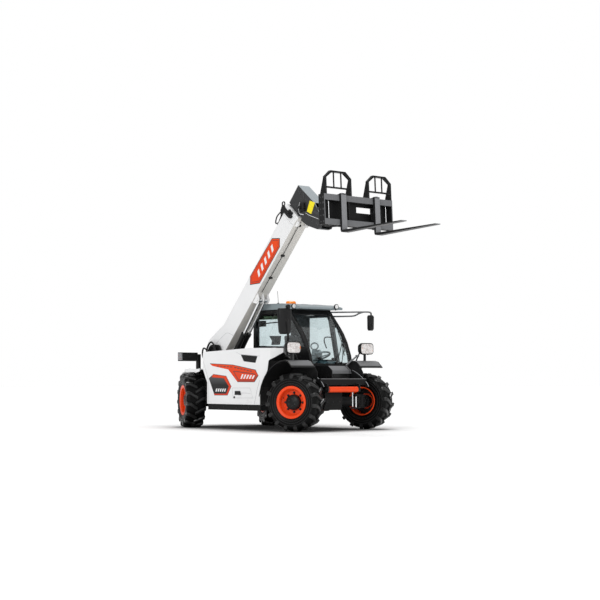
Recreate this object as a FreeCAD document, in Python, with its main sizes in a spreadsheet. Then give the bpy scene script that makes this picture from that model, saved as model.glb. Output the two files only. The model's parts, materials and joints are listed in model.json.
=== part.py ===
import FreeCAD, Part
import math
import os
from types import SimpleNamespace

import Sketcher
from FreeCAD import Placement, Rotation, Vector

# Compact telehandler, modelled standing as it parks with its boom raised.
# Machine directions: +X is forward, +Y is the driver's left and +Z is up.
# Every place below is measured from the ground point under the front axle's centre.
# A uniform datum shift then puts the origin on the floor under the machine's middle.

doc = FreeCAD.newDocument("Telehandler")
sheet = doc.addObject("Spreadsheet::Sheet", "Sizes")

# Driving dimensions
# name, value in mm or degrees, what it is
SIZES = [
    ("datum_x", 565, "shift from the front axle to the middle of the machine's length"),
    ("datum_y", -118, "shift from the centre line to the middle of the machine's width"),
    ("wheelbase", 2350, "front axle to rear axle"),
    ("tyre_radius", 420, "tyre radius over the lugs"),
    ("tyre_width", 310, "tyre width over the lugs"),
    ("lug_height", 24, "height of the tread lugs"),
    ("lug_width", 46, "tread lug along the rolling direction"),
    ("lug_lean", 62, "how far a lug's inner end leads its shoulder"),
    ("lug_count", 13, "lugs on each half of the tread"),
    ("bead_radius", 206, "rim barrel radius where the tyre sits"),
    ("flange_radius", 234, "rim flange radius"),
    ("rim_wall", 9, "sheet thickness of the rim"),
    ("rim_width", 284, "rim over its flanges"),
    ("dish_place", 28, "wheel disc outboard of the tyre's middle"),
    ("hub_radius", 100, "planetary hub cap radius"),
    ("hub_reach", 78, "hub cap proud of the wheel disc"),
    ("track_half", 765, "centre line to the middle of a tyre"),
    ("kingpin_y", 600, "centre line to a kingpin"),
    ("kingpin_radius", 20, "kingpin radius"),
    ("front_steer", 22, "front wheels' angle in the photo, to the left"),
    ("rear_steer", -25, "rear wheels' angle in the photo"),
    ("axle_radius", 72, "axle housing radius"),
    ("differential_radius", 138, "radius of the axles' differential housing"),
    ("running_fit", 0.08, "radial play of a pin in its bore"),
    ("seat_gap", 0.3, "gap between pieces that rest on each other"),
    ("pivot_back", 35, "boom pivot behind the rear axle"),
    ("pivot_z", 1190, "boom pivot above the ground"),
    ("pivot_radius", 32, "boom pivot pin radius"),
    ("boom_angle", 48.5, "boom above the horizontal"),
    ("boom_y", -145, "middle plane of the boom"),
    ("boom_width", 250, "outer boom width"),
    ("boom_depth", 304, "outer boom depth"),
    ("boom_wall", 10, "outer boom wall"),
    ("boom_reach", 2780, "pivot to the outer boom's mouth"),
    ("collar_length", 60, "length of the collar round the mouth"),
    ("collar_rim", 24, "collar proud of the boom"),
    ("slide_gap", 11, "gap between the inner and outer boom walls"),
    ("pad_length", 70, "length of a wear pad"),
    ("neck_beyond", 193, "tool pivot beyond the outer boom's mouth"),
    ("neck_z", -554, "tool pivot below the boom's axis"),
    ("tilt_foot_beyond", 160, "tilt cylinder's foot pin beyond the outer boom's mouth"),
    ("tilt_foot_z", -160, "tilt cylinder's foot pin below the boom's axis"),
    ("tilt_foot_radius", 18, "radius of the tilt cylinder's foot pin"),
    ("tilt_pin_ahead", 180, "tilt cylinder's rod pin ahead of the tool pivot"),
    ("head_plate", 15, "thickness of the head's side plates"),
    ("tool_pin_radius", 25, "tool pivot pin radius"),
    ("tool_angle", 3, "fork blades above the horizontal"),
    ("frame_back", 370, "frame's rear end behind the rear axle"),
    ("frame_front", 150, "frame's front end ahead of the front axle"),
    ("frame_plate", 20, "thickness of the frame's side plates"),
    ("frame_low", 500, "underside of the frame"),
    ("nose_low", 300, "underside of the frame's nose"),
    ("beam_depth", 120, "front beam along the machine"),
    ("weight_half", 370, "half the width of the counterweight"),
    ("cab_carrier_y", 560, "left end of the cab's carriers"),
    ("rail_top", 730, "top edge of the frame's side plates"),
    ("tower_top", 1290, "top of the boom tower"),
    ("frame_gap", 20, "gap between the boom and a frame plate"),
    ("lift_foot_back", 33, "lift cylinder's foot pin behind the rear axle"),
    ("lift_foot_z", 694, "lift cylinder's foot pin above the ground"),
    ("foot_radius", 24, "radius of the lift cylinder's foot pin"),
    ("lift_eye_x", 1215, "lift cylinder's rod eye along the boom"),
    ("lift_eye_z", -215, "lift cylinder's rod eye below the boom's axis"),
    ("hood_back", 500, "hood's lower rear edge ahead of the rear axle"),
    ("sill_low", 286, "underside of the engine carrier's sill"),
    ("sill_top", 368, "top of the engine carrier's sill"),
    ("hood_wall", 14, "thickness of the engine hood"),
    ("hood_outer_y", -880, "outer face of the engine hood"),
    ("hood_inner_y", -330, "inner edge of the engine hood"),
    ("cab_right", 40, "right wall of the cab"),
    ("cab_left", 900, "left wall of the cab"),
    ("cab_wall", 44, "thickness of the cab's walls and pillars"),
    ("pillar_depth", 56, "depth of the cab's front pillars"),
    ("cab_step", 1190, "underside of the cab's rear overhang"),
    ("cab_back", 650, "cab's lower rear wall ahead of the rear axle"),
    ("cab_overhang", 160, "cab's upper rear wall behind its lower one"),
    ("cab_top", 1820, "top of the cab's frame"),
    ("cab_floor", 560, "underside of the cab"),
    ("glass_wall", 6, "pane thickness"),
    ("strut_x", 300, "safety strut ahead of the front axle"),
    ("strut_z", 600, "safety strut above the ground"),
    ("strut_middle", -55, "middle of the safety strut across the machine"),
    ("strut_length", 610, "length of the safety strut"),
    ("strut_radius", 42, "radius of the safety strut"),
    ("rear_fender_top", 905, "top of the rear fenders"),
    ("rear_fender_inner", 430, "inner edge of a rear fender"),
    ("hinge_y", -320, "hood hinge line across the machine"),
    ("hinge_z", 1213, "hood hinge line above the ground"),
    ("hinge_radius", 9, "radius of a hinge barrel"),
    ("door_hinge_ahead", 98, "cab door hinge line ahead of the cab's lower rear wall"),
    ("seat_y", 470, "middle of the driver's seat"),
    ("door_hinge_y", 911, "cab door hinge line across the machine"),
    ("fender_radius", 628, "radius of the front fenders' arch"),
    ("fender_wall", 10, "fender sheet thickness"),
    ("fender_inner_y", 450, "inner edge of a front fender"),
    ("fender_outer_y", 905, "outer edge of a front fender"),
    ("carriage_half", 680, "half the width of the fork carriage"),
    ("carriage_depth", 120, "depth of the fork carriage"),
    ("guard_tube", 24, "width of a load guard's frame"),
    ("blade_rise", 10, "how far a blade's tip stands above its heel"),
    ("carriage_front", 610, "tool pivot to the face that the forks lie on"),
    ("fork_y", 335, "centre line to the middle of a fork"),
    ("fork_width", 100, "fork width"),
    ("fork_thick", 40, "fork thickness at the heel"),
    ("fork_length", 1190, "fork blade length from the shank's face"),
    ("fork_drop", 240, "tool pivot to the underside of the blades"),
]


class Size:
    """A length or an angle that knows its value and the sheet cells behind it."""

    def __init__(self, value, text):
        self.value = value
        self.text = text

    def __add__(self, other):
        other = as_size(other)
        return Size(self.value + other.value, f"({self.text} + {other.text})")

    def __sub__(self, other):
        other = as_size(other)
        return Size(self.value - other.value, f"({self.text} - {other.text})")

    def __mul__(self, other):
        other = as_size(other)
        return Size(self.value * other.value, f"({self.text} * {other.text})")

    def __truediv__(self, other):
        other = as_size(other)
        return Size(self.value / other.value, f"({self.text} / {other.text})")

    def __neg__(self):
        return Size(-self.value, f"(0 - {self.text})")

    __radd__ = __add__
    __rmul__ = __mul__

    def __rsub__(self, other):
        return as_size(other) - self

    def __rtruediv__(self, other):
        return as_size(other) / self


def as_size(amount):
    if isinstance(amount, Size):
        return amount
    return Size(float(amount), f"{float(amount):.6f}")


def square_root(amount):
    return Size(math.sqrt(amount.value), f"sqrt({amount.text})")


def sine(angle):
    return Size(math.sin(math.radians(angle.value)), f"sin({angle.text} * 1 deg)")


def cosine(angle):
    return Size(math.cos(math.radians(angle.value)), f"cos({angle.text} * 1 deg)")


def slope(rise, run):
    return Size(math.degrees(math.atan2(rise.value, run.value)), f"atan2({rise.text}; {run.text})")


def fill_sheet():
    cells = {}
    for row, (name, value, meaning) in enumerate(SIZES, start=1):
        sheet.set(f"A{row}", meaning)
        sheet.set(f"B{row}", str(value))
        sheet.setAlias(f"B{row}", name)
        cells[name] = Size(float(value), f"Sizes.{name}")
    doc.recompute()
    return SimpleNamespace(**cells)


D = fill_sheet()


def bind(thing, path, amount):
    thing.setExpression(path, as_size(amount).text)


def bind_base(thing, x, y, z, path=".Placement"):
    bind(thing, path + ".Base.x", x)
    bind(thing, path + ".Base.y", y)
    bind(thing, path + ".Base.z", z)


# Sketched outlines
# A sketch lies in one of the body's own planes; each corner is held by two distances.
PLANE_AXES = {"XY": (0, 1), "XZ": (0, 2), "YZ": (1, 2)}


def outline_sketch(body, plane, corners, offset):
    sketch = body.newObject("Sketcher::SketchObject", body.Name + "_outline")
    origin = next(f for f in body.Origin.OriginFeatures if f.Role == plane + "_Plane")
    sketch.AttachmentSupport = [(origin, "")]
    sketch.MapMode = "FlatFace"
    bind(sketch, ".AttachmentOffset.Base.z", offset)
    corners = [(as_size(a), as_size(b)) for a, b in corners]
    points = [Vector(a.value, b.value, 0) for a, b in corners]
    count = len(points)
    for k in range(count):
        sketch.addGeometry(Part.LineSegment(points[k], points[(k + 1) % count]), False)
    for k in range(count):
        sketch.addConstraint(Sketcher.Constraint("Coincident", k, 2, (k + 1) % count, 1))
    for k, (a, b) in enumerate(corners):
        for kind, amount in (("DistanceX", a), ("DistanceY", b)):
            held = sketch.addConstraint(Sketcher.Constraint(kind, -1, 1, k, 1, amount.value))
            if "Sizes." in amount.text:
                sketch.setExpression(f"Constraints[{held}]", amount.text)
    return sketch


def round_corners(body, pad, plane, corners, radii):
    """Fillets the edges that run along the pad at the numbered outline corners."""
    doc.recompute()
    axes = PLANE_AXES[plane]
    for radius in sorted({r for r in radii.values()}):
        wanted = [corners[k] for k, r in radii.items() if r == radius]
        names = []
        for number, edge in enumerate(body.Tip.Shape.Edges, start=1):
            ends = [v.Point for v in edge.Vertexes]
            if len(ends) != 2:
                continue
            for a, b in wanted:
                a, b = as_size(a).value, as_size(b).value
                if all(abs(p[axes[0]] - a) < 0.05 and abs(p[axes[1]] - b) < 0.05 for p in ends):
                    names.append(f"Edge{number}")
        fillet = body.newObject("PartDesign::Fillet", body.Name + "_round")
        fillet.Base = (pad, names)
        fillet.Radius = radius
        doc.recompute()
        pad = fillet


def plate(name, plane, corners, low, high, radii=None):
    """A body padded from an outline between two places along the plane's normal."""
    body = doc.addObject("PartDesign::Body", name)
    low, high = as_size(low), as_size(high)
    offset = -high if plane == "XZ" else low
    sketch = outline_sketch(body, plane, corners, offset)
    pad = body.newObject("PartDesign::Pad", name + "_pad")
    pad.Profile = sketch
    bind(pad, "Length", high - low)
    if radii:
        round_corners(body, pad, plane, corners, radii)
    return body


def turned(name, profile):
    """A body turned about the Y axis from an outline of (along Y, radius) corners."""
    body = doc.addObject("PartDesign::Body", name)
    sketch = outline_sketch(body, "YZ", profile, 0)
    turn = body.newObject("PartDesign::Revolution", name + "_turn")
    turn.Profile = sketch
    turn.ReferenceAxis = (sketch, ["H_Axis"])
    turn.Angle = 360
    return body


# Primitives and booleans
def block(name, x, y, z):
    box = doc.addObject("Part::Box", name)
    for path, (low, high) in (("Length", x), ("Width", y), ("Height", z)):
        bind(box, path, as_size(high) - low)
    bind_base(box, x[0], y[0], z[0])
    return box


SIDEWAYS = Vector(0, -1, 0)
UPRIGHT = Vector(0, 0, 1)
AXIS_TURNS = {"X": Rotation(Vector(0, 1, 0), 90), "Y": Rotation(Vector(1, 0, 0), -90), "Z": Rotation()}


def drum(name, axis, start, length, radius):
    """A cylinder that runs from start along an axis."""
    cylinder = doc.addObject("Part::Cylinder", name)
    cylinder.Placement = Placement(Vector(), AXIS_TURNS[axis])
    bind(cylinder, "Radius", radius)
    bind(cylinder, "Height", length)
    bind_base(cylinder, *start)
    return cylinder


def ball(name, centre, radius):
    sphere = doc.addObject("Part::Sphere", name)
    bind(sphere, "Radius", radius)
    bind_base(sphere, *centre)
    return sphere


def fuse(name, *pieces):
    joined = doc.addObject("Part::MultiFuse", name)
    joined.Shapes = list(pieces)
    return joined


def cut(name, base, *tools):
    carved = doc.addObject("Part::Cut", name)
    carved.Base = base
    carved.Tool = tools[0] if len(tools) == 1 else fuse(name + "_tools", *tools)
    return carved


def common(name, *pieces):
    shared = doc.addObject("Part::MultiCommon", name)
    shared.Shapes = list(pieces)
    return shared


def mirrored(name, source):
    """The same piece on the other side of the plane Y = 0."""
    copy = doc.addObject("Part::Mirroring", name)
    copy.Source = source
    copy.Normal = Vector(0, 1, 0)
    return copy


def rod(name, start, end, radius):
    """A round bar from one point to another, read from the sheet."""
    places = [Vector(*(as_size(c).value for c in place)) for place in (start, end)]
    way = places[1] - places[0]
    bar = doc.addObject("Part::Cylinder", name)
    bar.Radius = radius
    bar.Height = way.Length
    bar.Placement = Placement(places[0], Rotation(UPRIGHT, way))
    return bar


# Kept sub-parts
NODES = []


def node(label, *pieces, at=(0, 0, 0), axis=None, angle=None):
    """One kept sub-part: its pieces together, placed in the machine's frame."""
    whole = doc.addObject("Part::Compound", label)
    whole.Label = label
    whole.Links = list(pieces)
    if axis is not None:
        whole.Placement = Placement(Vector(), Rotation(axis, as_size(angle).value))
        whole.setExpression(".Placement.Rotation.Angle", as_size(angle).text)
    bind_base(whole, D.datum_x + at[0], D.datum_y + at[1], as_size(at[2]))
    NODES.append(whole)
    return whole


# Places that follow from the sizes
rear_axle_x = -D.wheelbase
pivot_x = rear_axle_x - D.pivot_back
lift_foot_x = rear_axle_x - D.lift_foot_back
frame_rear = rear_axle_x - D.frame_back
hood_rear = rear_axle_x + D.hood_back
cab_low_rear = rear_axle_x + D.cab_back
cab_rear = cab_low_rear - D.cab_overhang
frame_left = D.boom_y + D.boom_width / 2 + D.frame_gap
frame_right = D.boom_y - D.boom_width / 2 - D.frame_gap - D.frame_plate
frame_left_out = frame_left + D.frame_plate
SIDES = (("left", 1), ("right", -1))


def to_side(side, near, far):
    """A span across the machine on its left (1) or right (-1) side."""
    return (near, far) if side > 0 else (-far, -near)


def shifted(line, along, up=0):
    """An outline's run of corners moved along its plane."""
    return [(x + along, z + up) for x, z in line]


# Wheels, made once as the left ones about their kingpin, axle line along Y
WHEEL_Y = D.track_half - D.kingpin_y


def make_tyre():
    crown = D.tyre_radius - D.lug_height
    half = D.tyre_width / 2
    bore = D.bead_radius + D.seat_gap
    # out from the tyre's middle, radius
    bead = D.rim_width / 2 - 24
    wall = [(bead, bore), (bead, D.flange_radius + 2), (half, D.flange_radius + 36), (half, crown)]
    profile = [(WHEEL_Y - y, r) for y, r in wall] + [(WHEEL_Y + y, r) for y, r in reversed(wall)]
    body = turned("tyre", profile)
    axle_line = next(f for f in body.Origin.OriginFeatures if f.Role == "Y_Axis")
    root = crown - 34
    shoulder = D.lug_lean * 0.4
    reach = D.lug_width / 2 + D.lug_lean
    tread = square_root(D.tyre_radius * D.tyre_radius - reach * reach)
    for side, turn in ((-1, 0.0), (1, 0.5)):
        edge = WHEEL_Y + half * side
        inner = WHEEL_Y - D.lug_width * 0.3 * side
        # The lean is mirrored with the side, so the two rows point the same way round.
        lean = D.lug_lean * side
        corners = [
            (D.lug_width / 2 - lean, inner),
            (D.lug_width / 2 + shoulder * side, edge),
            (shoulder * side - D.lug_width * 0.75, edge),
            (-(D.lug_width / 2) - lean, inner),
        ]
        sketch = outline_sketch(body, "XY", corners, root)
        shift = turn * 360 / D.lug_count
        place = sketch.AttachmentOffset
        place.Rotation = Rotation(Vector(0, 1, 0), shift.value)
        sketch.AttachmentOffset = place
        sketch.setExpression(".AttachmentOffset.Rotation.Angle", shift.text)
        bind(sketch, ".AttachmentOffset.Base.x", root * sine(shift))
        bind(sketch, ".AttachmentOffset.Base.z", root * cosine(shift))
        lug = body.newObject("PartDesign::Pad", f"tyre_lug_{side + 1}")
        lug.Profile = sketch
        bind(lug, "Length", tread - root)
        ring = body.newObject("PartDesign::PolarPattern", f"tyre_lug_ring_{side + 1}")
        ring.Originals = [lug]
        ring.Axis = (axle_line, [""])
        ring.Angle = 360
        bind(ring, "Occurrences", D.lug_count)
        body.Tip = ring
    return body


def make_rim():
    half = D.rim_width / 2
    inner = D.bead_radius - D.rim_wall
    disc = WHEEL_Y + D.dish_place
    cap = disc + D.hub_reach
    # along the axle line, radius
    return turned("rim", [
        (WHEEL_Y - half, inner), (WHEEL_Y - half, D.flange_radius - 22),
        (WHEEL_Y - half + 9, D.flange_radius - 22),
        (WHEEL_Y - half + 19, D.bead_radius), (WHEEL_Y + half - 22, D.bead_radius),
        (WHEEL_Y + half - 10, D.flange_radius), (WHEEL_Y + half, D.flange_radius),
        (WHEEL_Y + half - 8, inner),
        (disc + 34, inner), (disc + 10, inner - 30), (disc + 10, D.hub_radius),
        (cap - 20, D.hub_radius), (cap, D.hub_radius - 24), (cap, 0),
        (disc - 6, 0), (disc - 6, inner - 30), (disc + 20, inner),
    ])


def make_knuckle():
    boss_half = 70
    flange_y = 84
    swivel = drum("knuckle_swivel", "Z", (0, 0, -boss_half), 2 * boss_half, 52)
    neck = drum("knuckle_neck", "Y", (0, 20, 0), flange_y - 18, 64)
    flange = drum("knuckle_flange", "Y", (0, flange_y, 0),
                  WHEEL_Y + D.dish_place - 6 - D.seat_gap - flange_y, D.hub_radius - 4)
    arm = block("knuckle_arm", (-150, -20), (-8, 22), (-58, -38))
    bore = drum("knuckle_bore", "Z", (0, 0, -boss_half - 20), 2 * boss_half + 40,
                D.kingpin_radius + D.running_fit)
    return cut("knuckle", fuse("knuckle_solid", swivel, neck, flange, arm), bore)


WHEEL_MASTERS = {"tyre": make_tyre(), "wheel_rim": make_rim(), "knuckle": make_knuckle()}
MIRROR_MASTERS = {kind: mirrored(kind + "_other_side", piece) for kind, piece in WHEEL_MASTERS.items()}
AXLES = [("front", 0, D.front_steer), ("rear", rear_axle_x, D.rear_steer)]

for axle_name, axle_x, steer in AXLES:
    for side_name, side in SIDES:
        masters = WHEEL_MASTERS if side > 0 else MIRROR_MASTERS
        for kind, piece in masters.items():
            node(f"{kind}_{axle_name}_{side_name}", piece,
                 at=(axle_x, side * D.kingpin_y, D.tyre_radius), axis=UPRIGHT, angle=steer)


def make_axle(name):
    """Housing, differential, forked ends and kingpins about the axle's middle."""
    ear_low, ear_high = 72, 100
    web_depth = 22
    web_near = D.kingpin_y - 92
    pieces = [
        drum(name + "_housing", "Y", (0, 90 - D.kingpin_y, 0), 2 * D.kingpin_y - 180, D.axle_radius),
        turned(name + "_differential", [
            (D.boom_y - 118, 0), (D.boom_y - 118, D.axle_radius + 6), (D.boom_y - 60, D.differential_radius),
            (D.boom_y + 60, D.differential_radius), (D.boom_y + 118, D.axle_radius + 6), (D.boom_y + 118, 0),
        ]),
    ]
    for side_name, side in SIDES:
        pieces.append(block(name + "_web", (-56, 56), to_side(side, web_near, web_near + web_depth),
                            (-ear_high, ear_high)))
        for low, high in ((-ear_high, -ear_low), (ear_low, ear_high)):
            pieces.append(block(name + "_ear", (-48, 48), to_side(side, web_near, D.kingpin_y + 44),
                                (low, high)))
        pieces.append(drum(name + "_kingpin", "Z", (0, side * D.kingpin_y, -ear_low - 6),
                           2 * ear_low + 12, D.kingpin_radius))
    for low in (frame_right, frame_left):
        pieces.append(block(name + "_saddle", (-70, 70), (low, low + D.frame_plate),
                            (0, D.frame_low - D.tyre_radius)))
    return fuse(name, *pieces)


for axle_name, axle_x, steer in AXLES:
    node(f"{axle_name}_axle", make_axle(f"{axle_name}_axle_solid"), at=(axle_x, 0, D.tyre_radius))


# Main frame: two side plates with the boom tower, floor, beams and nose
def make_frame():
    tower_rear = pivot_x - 130
    side_outline = [
        (frame_rear, D.frame_low), (frame_rear, D.rail_top + 150), (tower_rear, D.tower_top),
        (pivot_x + 90, D.tower_top), (pivot_x + 235, D.tower_top - 330), (rear_axle_x + 490, D.rail_top),
        (D.frame_front, D.rail_top), (D.frame_front, D.frame_low),
    ]
    across = (frame_right, frame_left_out)
    beam_end = D.frame_front + D.beam_depth
    floor_top = D.frame_low + 16
    pieces = []
    for low in (frame_right, frame_left):
        pieces.append(plate("frame_side", "XZ", side_outline, low, low + D.frame_plate, {2: 60, 3: 60}))
    pieces.append(block("frame_floor", (frame_rear, D.frame_front), across, (D.frame_low, floor_top)))
    pieces.append(block("frame_front_beam", (D.frame_front, beam_end),
                        (-D.fender_inner_y, D.fender_inner_y), (667, 755)))
    nose = plate("frame_nose", "XZ", [
        (D.frame_front, D.nose_low), (D.frame_front, 700), (D.frame_front + 40, 700),
        (D.frame_front + 60, 480), (D.frame_front + 40, D.nose_low),
    ], *across)
    pieces.append(nose)
    for side in (-1, 1):
        near = D.strut_middle + side * D.strut_length / 2
        ys = (near - 14, near - D.seat_gap) if side < 0 else (near + D.seat_gap, near + 14)
        pieces.append(plate("frame_strut_bracket", "XZ", [
            (beam_end - 100, 690), (D.strut_x + 10, 690), (D.strut_x + 44, D.strut_z + 40),
            (D.strut_x + 44, D.strut_z - 30), (D.strut_x, D.strut_z - 50), (beam_end - 110, D.strut_z - 10),
        ], *ys))
    pieces.append(drum("frame_pivot_pin", "Y", (pivot_x, frame_right - 12, D.pivot_z),
                       frame_left_out - frame_right + 24, D.pivot_radius))
    pieces.append(drum("frame_foot_pin", "Y", (lift_foot_x, frame_right, D.lift_foot_z),
                       frame_left_out - frame_right, D.foot_radius))
    for x in (rear_axle_x + 850, -700):
        pieces.append(block("frame_cab_carrier", (x, x + 90), (frame_left_out - 1, D.cab_carrier_y),
                            (D.frame_low, D.cab_floor)))
    pieces.append(block("frame_rear_beam", (frame_rear - 60, frame_rear),
                        (-D.weight_half - 10, D.weight_half + 10), (D.frame_low - 60, 860)))
    hollows = [drum("frame_axle_hollow", "Y", (x, frame_right + D.frame_plate, D.tyre_radius),
                    frame_left - frame_right - D.frame_plate, D.differential_radius + 14)
               for x in (0, rear_axle_x)]
    return cut("frame_solid", fuse("frame_block", *pieces), *hollows)


node("main_frame", make_frame())


def make_weight():
    face = frame_rear - 60
    back = face - 120
    half = D.weight_half
    body = plate("weight_body", "XZ", [
        (back + 20, 470), (back, 560), (back, 800), (back + 40, 850), (face, 850), (face, 440),
        (back + 50, 440),
    ], -half, half)
    jaw = block("weight_jaw", (back - 80, back + 5), (-60, 60), (500, 640))
    slot = block("weight_slot", (back - 90, back), (-70, 70), (530, 610))
    bore = drum("weight_bore", "Z", (back - 45, 0, 490), 160, 16)
    return cut("weight_solid", fuse("weight_block", body, jaw), slot, bore)


node("counterweight_hitch", make_weight())

# Right side: engine carrier, engine block and the hood that tilts up about its inner top edge
hood_front = -584
sill = plate("sill_beam", "XZ", [
    (hood_rear + 20, D.sill_low), (hood_rear + 20, D.sill_top), (hood_front, D.sill_top),
    (hood_front, D.sill_low + 14), (hood_front - 16, D.sill_low),
], D.hood_outer_y + 6, frame_right)
sill_web = block("sill_web", (hood_rear + 150, -700), (frame_right - 30, frame_right),
                 (D.sill_top, D.rail_top - 10))
HOOD_HINGES = (rear_axle_x + 850, as_size(-950))
HINGE_PIN = 4
hinge_posts = []
for x in HOOD_HINGES:
    hinge_posts.append(block("hinge_post", (x - 20, x + 20), (D.hinge_y - 6, D.hinge_y + 10),
                             (700, D.hinge_z)))
    hinge_posts.append(drum("hinge_post_barrel", "X", (x - 20, D.hinge_y, D.hinge_z), 40, D.hinge_radius))
    hinge_posts.append(drum("hinge_post_pin", "X", (x + 18, D.hinge_y, D.hinge_z), 40, HINGE_PIN))
node("engine_carrier", fuse("engine_carrier_solid", sill, sill_web, *hinge_posts))
node("engine_block", block("engine_solid", (hood_rear + 200, -800), (D.hood_outer_y + 80, -380),
                           (D.sill_top + D.seat_gap, 1040)))

# The hood's outer skin, seen from the side and from above; the void inside is the same a wall further in.
wall = D.hood_wall
HOOD_BACK = [
    (hood_rear, 374), (hood_rear, 700), (hood_rear - 50, 785), (hood_rear - 142, 965),
    (hood_rear - 107, 1163),
]
HOOD_FRONT = [
    (-820, 1208), (-262, 1203), (-267, 1140), (-365, 1062), (-430, 1020), (-450, 885), (-515, 735),
    (hood_front, 590), (hood_front, 374),
]
HOOD_VOID_FRONT = [
    (-820, 1194), (-300, 1190), (-380, 1090), (-446, 1030), (-466, 890), (-530, 742), (-598, 594),
    (-598, 300),
]
HOOD_VENT = [(-1030, 1110), (-655, 1085), (-700, 1035), (-950, 1050)]


def hood_plan(name, in_by, low, high):
    """The hood's outline from above, drawn in by a wall's thickness."""
    outer = D.hood_outer_y + in_by
    rear = hood_rear - 160
    return plate(name, "XY", [
        (rear, D.hood_inner_y + in_by * 1.4), (rear, outer + 44), (rear + 48, outer), (-582, outer),
        (-404, outer + 40), (-266 - in_by, outer + 178), (-456 - in_by, D.hood_inner_y + in_by * 1.4),
    ], low, high)


def make_hood():
    side = plate("hood_side", "XZ", HOOD_BACK + HOOD_FRONT, D.hood_outer_y - 5, D.hood_inner_y, {4: 30})
    skin = common("hood_skin", side, hood_plan("hood_plan", 0, 300, 1300))
    back = shifted(HOOD_BACK, wall)
    void = plate("hood_void", "XZ", [(back[0][0], 300)] + back[1:4] + [(back[4][0], 1150)] + HOOD_VOID_FRONT,
                 D.hood_outer_y + wall, D.hood_inner_y + 20)
    inside = common("hood_inside", void, hood_plan("hood_plan_void", wall, 290, 1310))
    vent = plate("hood_vent_cut", "XZ", HOOD_VENT, D.hood_outer_y - 10, D.hood_outer_y + 30)
    tyre_gap = block("hood_tyre_gap", (hood_rear - 10, hood_rear + 30),
                     (D.hood_outer_y + 60, D.hood_inner_y + 10), (360, 640))
    shell = cut("hood_shell", skin, inside, vent, tyre_gap)
    slats = []
    for z in (1050, 1066, 1082):
        slat = block("hood_vent_slat", (-1040, -640), (D.hood_outer_y + 4, D.hood_outer_y + 10), (z, z + 6))
        slats.append(common("hood_vent_slat_trimmed", slat, plate(
            "hood_vent_frame", "XZ", shifted(HOOD_VENT, 0, 1), D.hood_outer_y - 10, D.hood_outer_y + 30)))
    leaves = []
    for x in HOOD_HINGES:
        start, end = x + 20 + D.seat_gap, x + 56
        leaf = fuse("hood_leaf_solid",
                    block("hood_leaf", (start, end), (D.hinge_y - 50, D.hinge_y),
                          (D.hinge_z - 30, D.hinge_z + 6)),
                    drum("hood_leaf_barrel", "X", (start, D.hinge_y, D.hinge_z), end - start,
                         D.hinge_radius))
        bore = drum("hood_leaf_bore", "X", (start - 5, D.hinge_y, D.hinge_z), end - start + 10,
                    HINGE_PIN + D.running_fit)
        leaves.append(cut("hood_leaf_bored", leaf, bore))
    return fuse("hood_solid", shell, *slats, *leaves)


node("engine_hood", make_hood())

# Rear right and left: fenders, lamp carriers
fender_top = D.rear_fender_top
fender_bend = rear_axle_x - 40
FENDER_FLAP = [  # outer edge from the top sheet down behind the tyre
    (fender_bend, fender_top), (fender_bend - 130, fender_top - 14), (fender_bend - 250, fender_top - 54),
    (fender_bend - 330, fender_top - 108),
]
lamp_x = rear_axle_x - 210
rear_fenders = []
rear_lamps = []
for side_name, side in SIDES:
    plate_face = frame_left_out if side > 0 else -frame_right
    top = plate("rear_fender_top", "XZ", [
        (fender_bend, fender_top - 12), (fender_bend, fender_top), (rear_axle_x + 340, fender_top),
        (rear_axle_x + 340, fender_top - 12),
    ], *to_side(side, D.rear_fender_inner, 900))
    flap = plate("rear_fender_flap", "XZ", FENDER_FLAP + shifted(FENDER_FLAP, 6, -10)[::-1],
                 *to_side(side, 550, 760))
    stay = block("rear_fender_stay", (rear_axle_x + 30, rear_axle_x + 90),
                 to_side(side, plate_face, D.rear_fender_inner + 10), (fender_top - 43, fender_top - 11))
    rear_fenders.append(fuse("rear_fender", top, flap, stay))
    rear_lamps.append(fuse(
        "rear_lamp_carrier_solid",
        block("rear_lamp_box", (lamp_x - 45, lamp_x + 45), to_side(side, 560, 880), (1030, 1165)),
        block("rear_lamp_arm", (lamp_x - 25, lamp_x + 35), to_side(side, 500, 600), (1050, 1140)),
        block("rear_lamp_post", (lamp_x - 25, lamp_x + 35), to_side(side, 490, 540), (890, 1140)),
        block("rear_lamp_foot", (frame_rear - 60, lamp_x + 35), to_side(side, D.weight_half - 30, 540),
              (860, 892))))
node("rear_fenders", *rear_fenders)
node("rear_lamp_carriers", *rear_lamps)

tank_rear = rear_axle_x + 50
tank_front = cab_low_rear - 40
tank = plate("tank_cover_solid", "XZ", [
    (tank_rear, fender_top), (tank_rear, 1120), (tank_rear + 60, 1170), (tank_front, 1170),
    (tank_front, fender_top),
], 60, 860, {2: 30, 3: 30})
node("tank_cover", tank)


# Boom: built along its own axis from the pivot, then raised
BOOM = {"at": (pivot_x, 0, D.pivot_z), "axis": SIDEWAYS, "angle": D.boom_angle}
boom_right = D.boom_y - D.boom_width / 2
boom_left = D.boom_y + D.boom_width / 2
boom_top = D.boom_depth / 2
cavity_right = boom_right + D.boom_wall
cavity_left = boom_left - D.boom_wall
cavity_top = boom_top - D.boom_wall
inner_right = cavity_right + D.slide_gap
inner_left = cavity_left - D.slide_gap
inner_top = cavity_top - D.slide_gap
mouth = D.boom_reach
neck_x = mouth + D.neck_beyond
tilt_foot_along = mouth + D.tilt_foot_beyond


def wear_pads(name, along, y_spans, z_spans):
    """Pads on the two sides and the two flats of a boom section."""
    pads = [block(name + "_side_pad", along, span, (-90, 90)) for span in y_spans]
    pads += [block(name + "_flat_pad", along, (D.boom_y - 80, D.boom_y + 80), span) for span in z_spans]
    return pads


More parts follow.
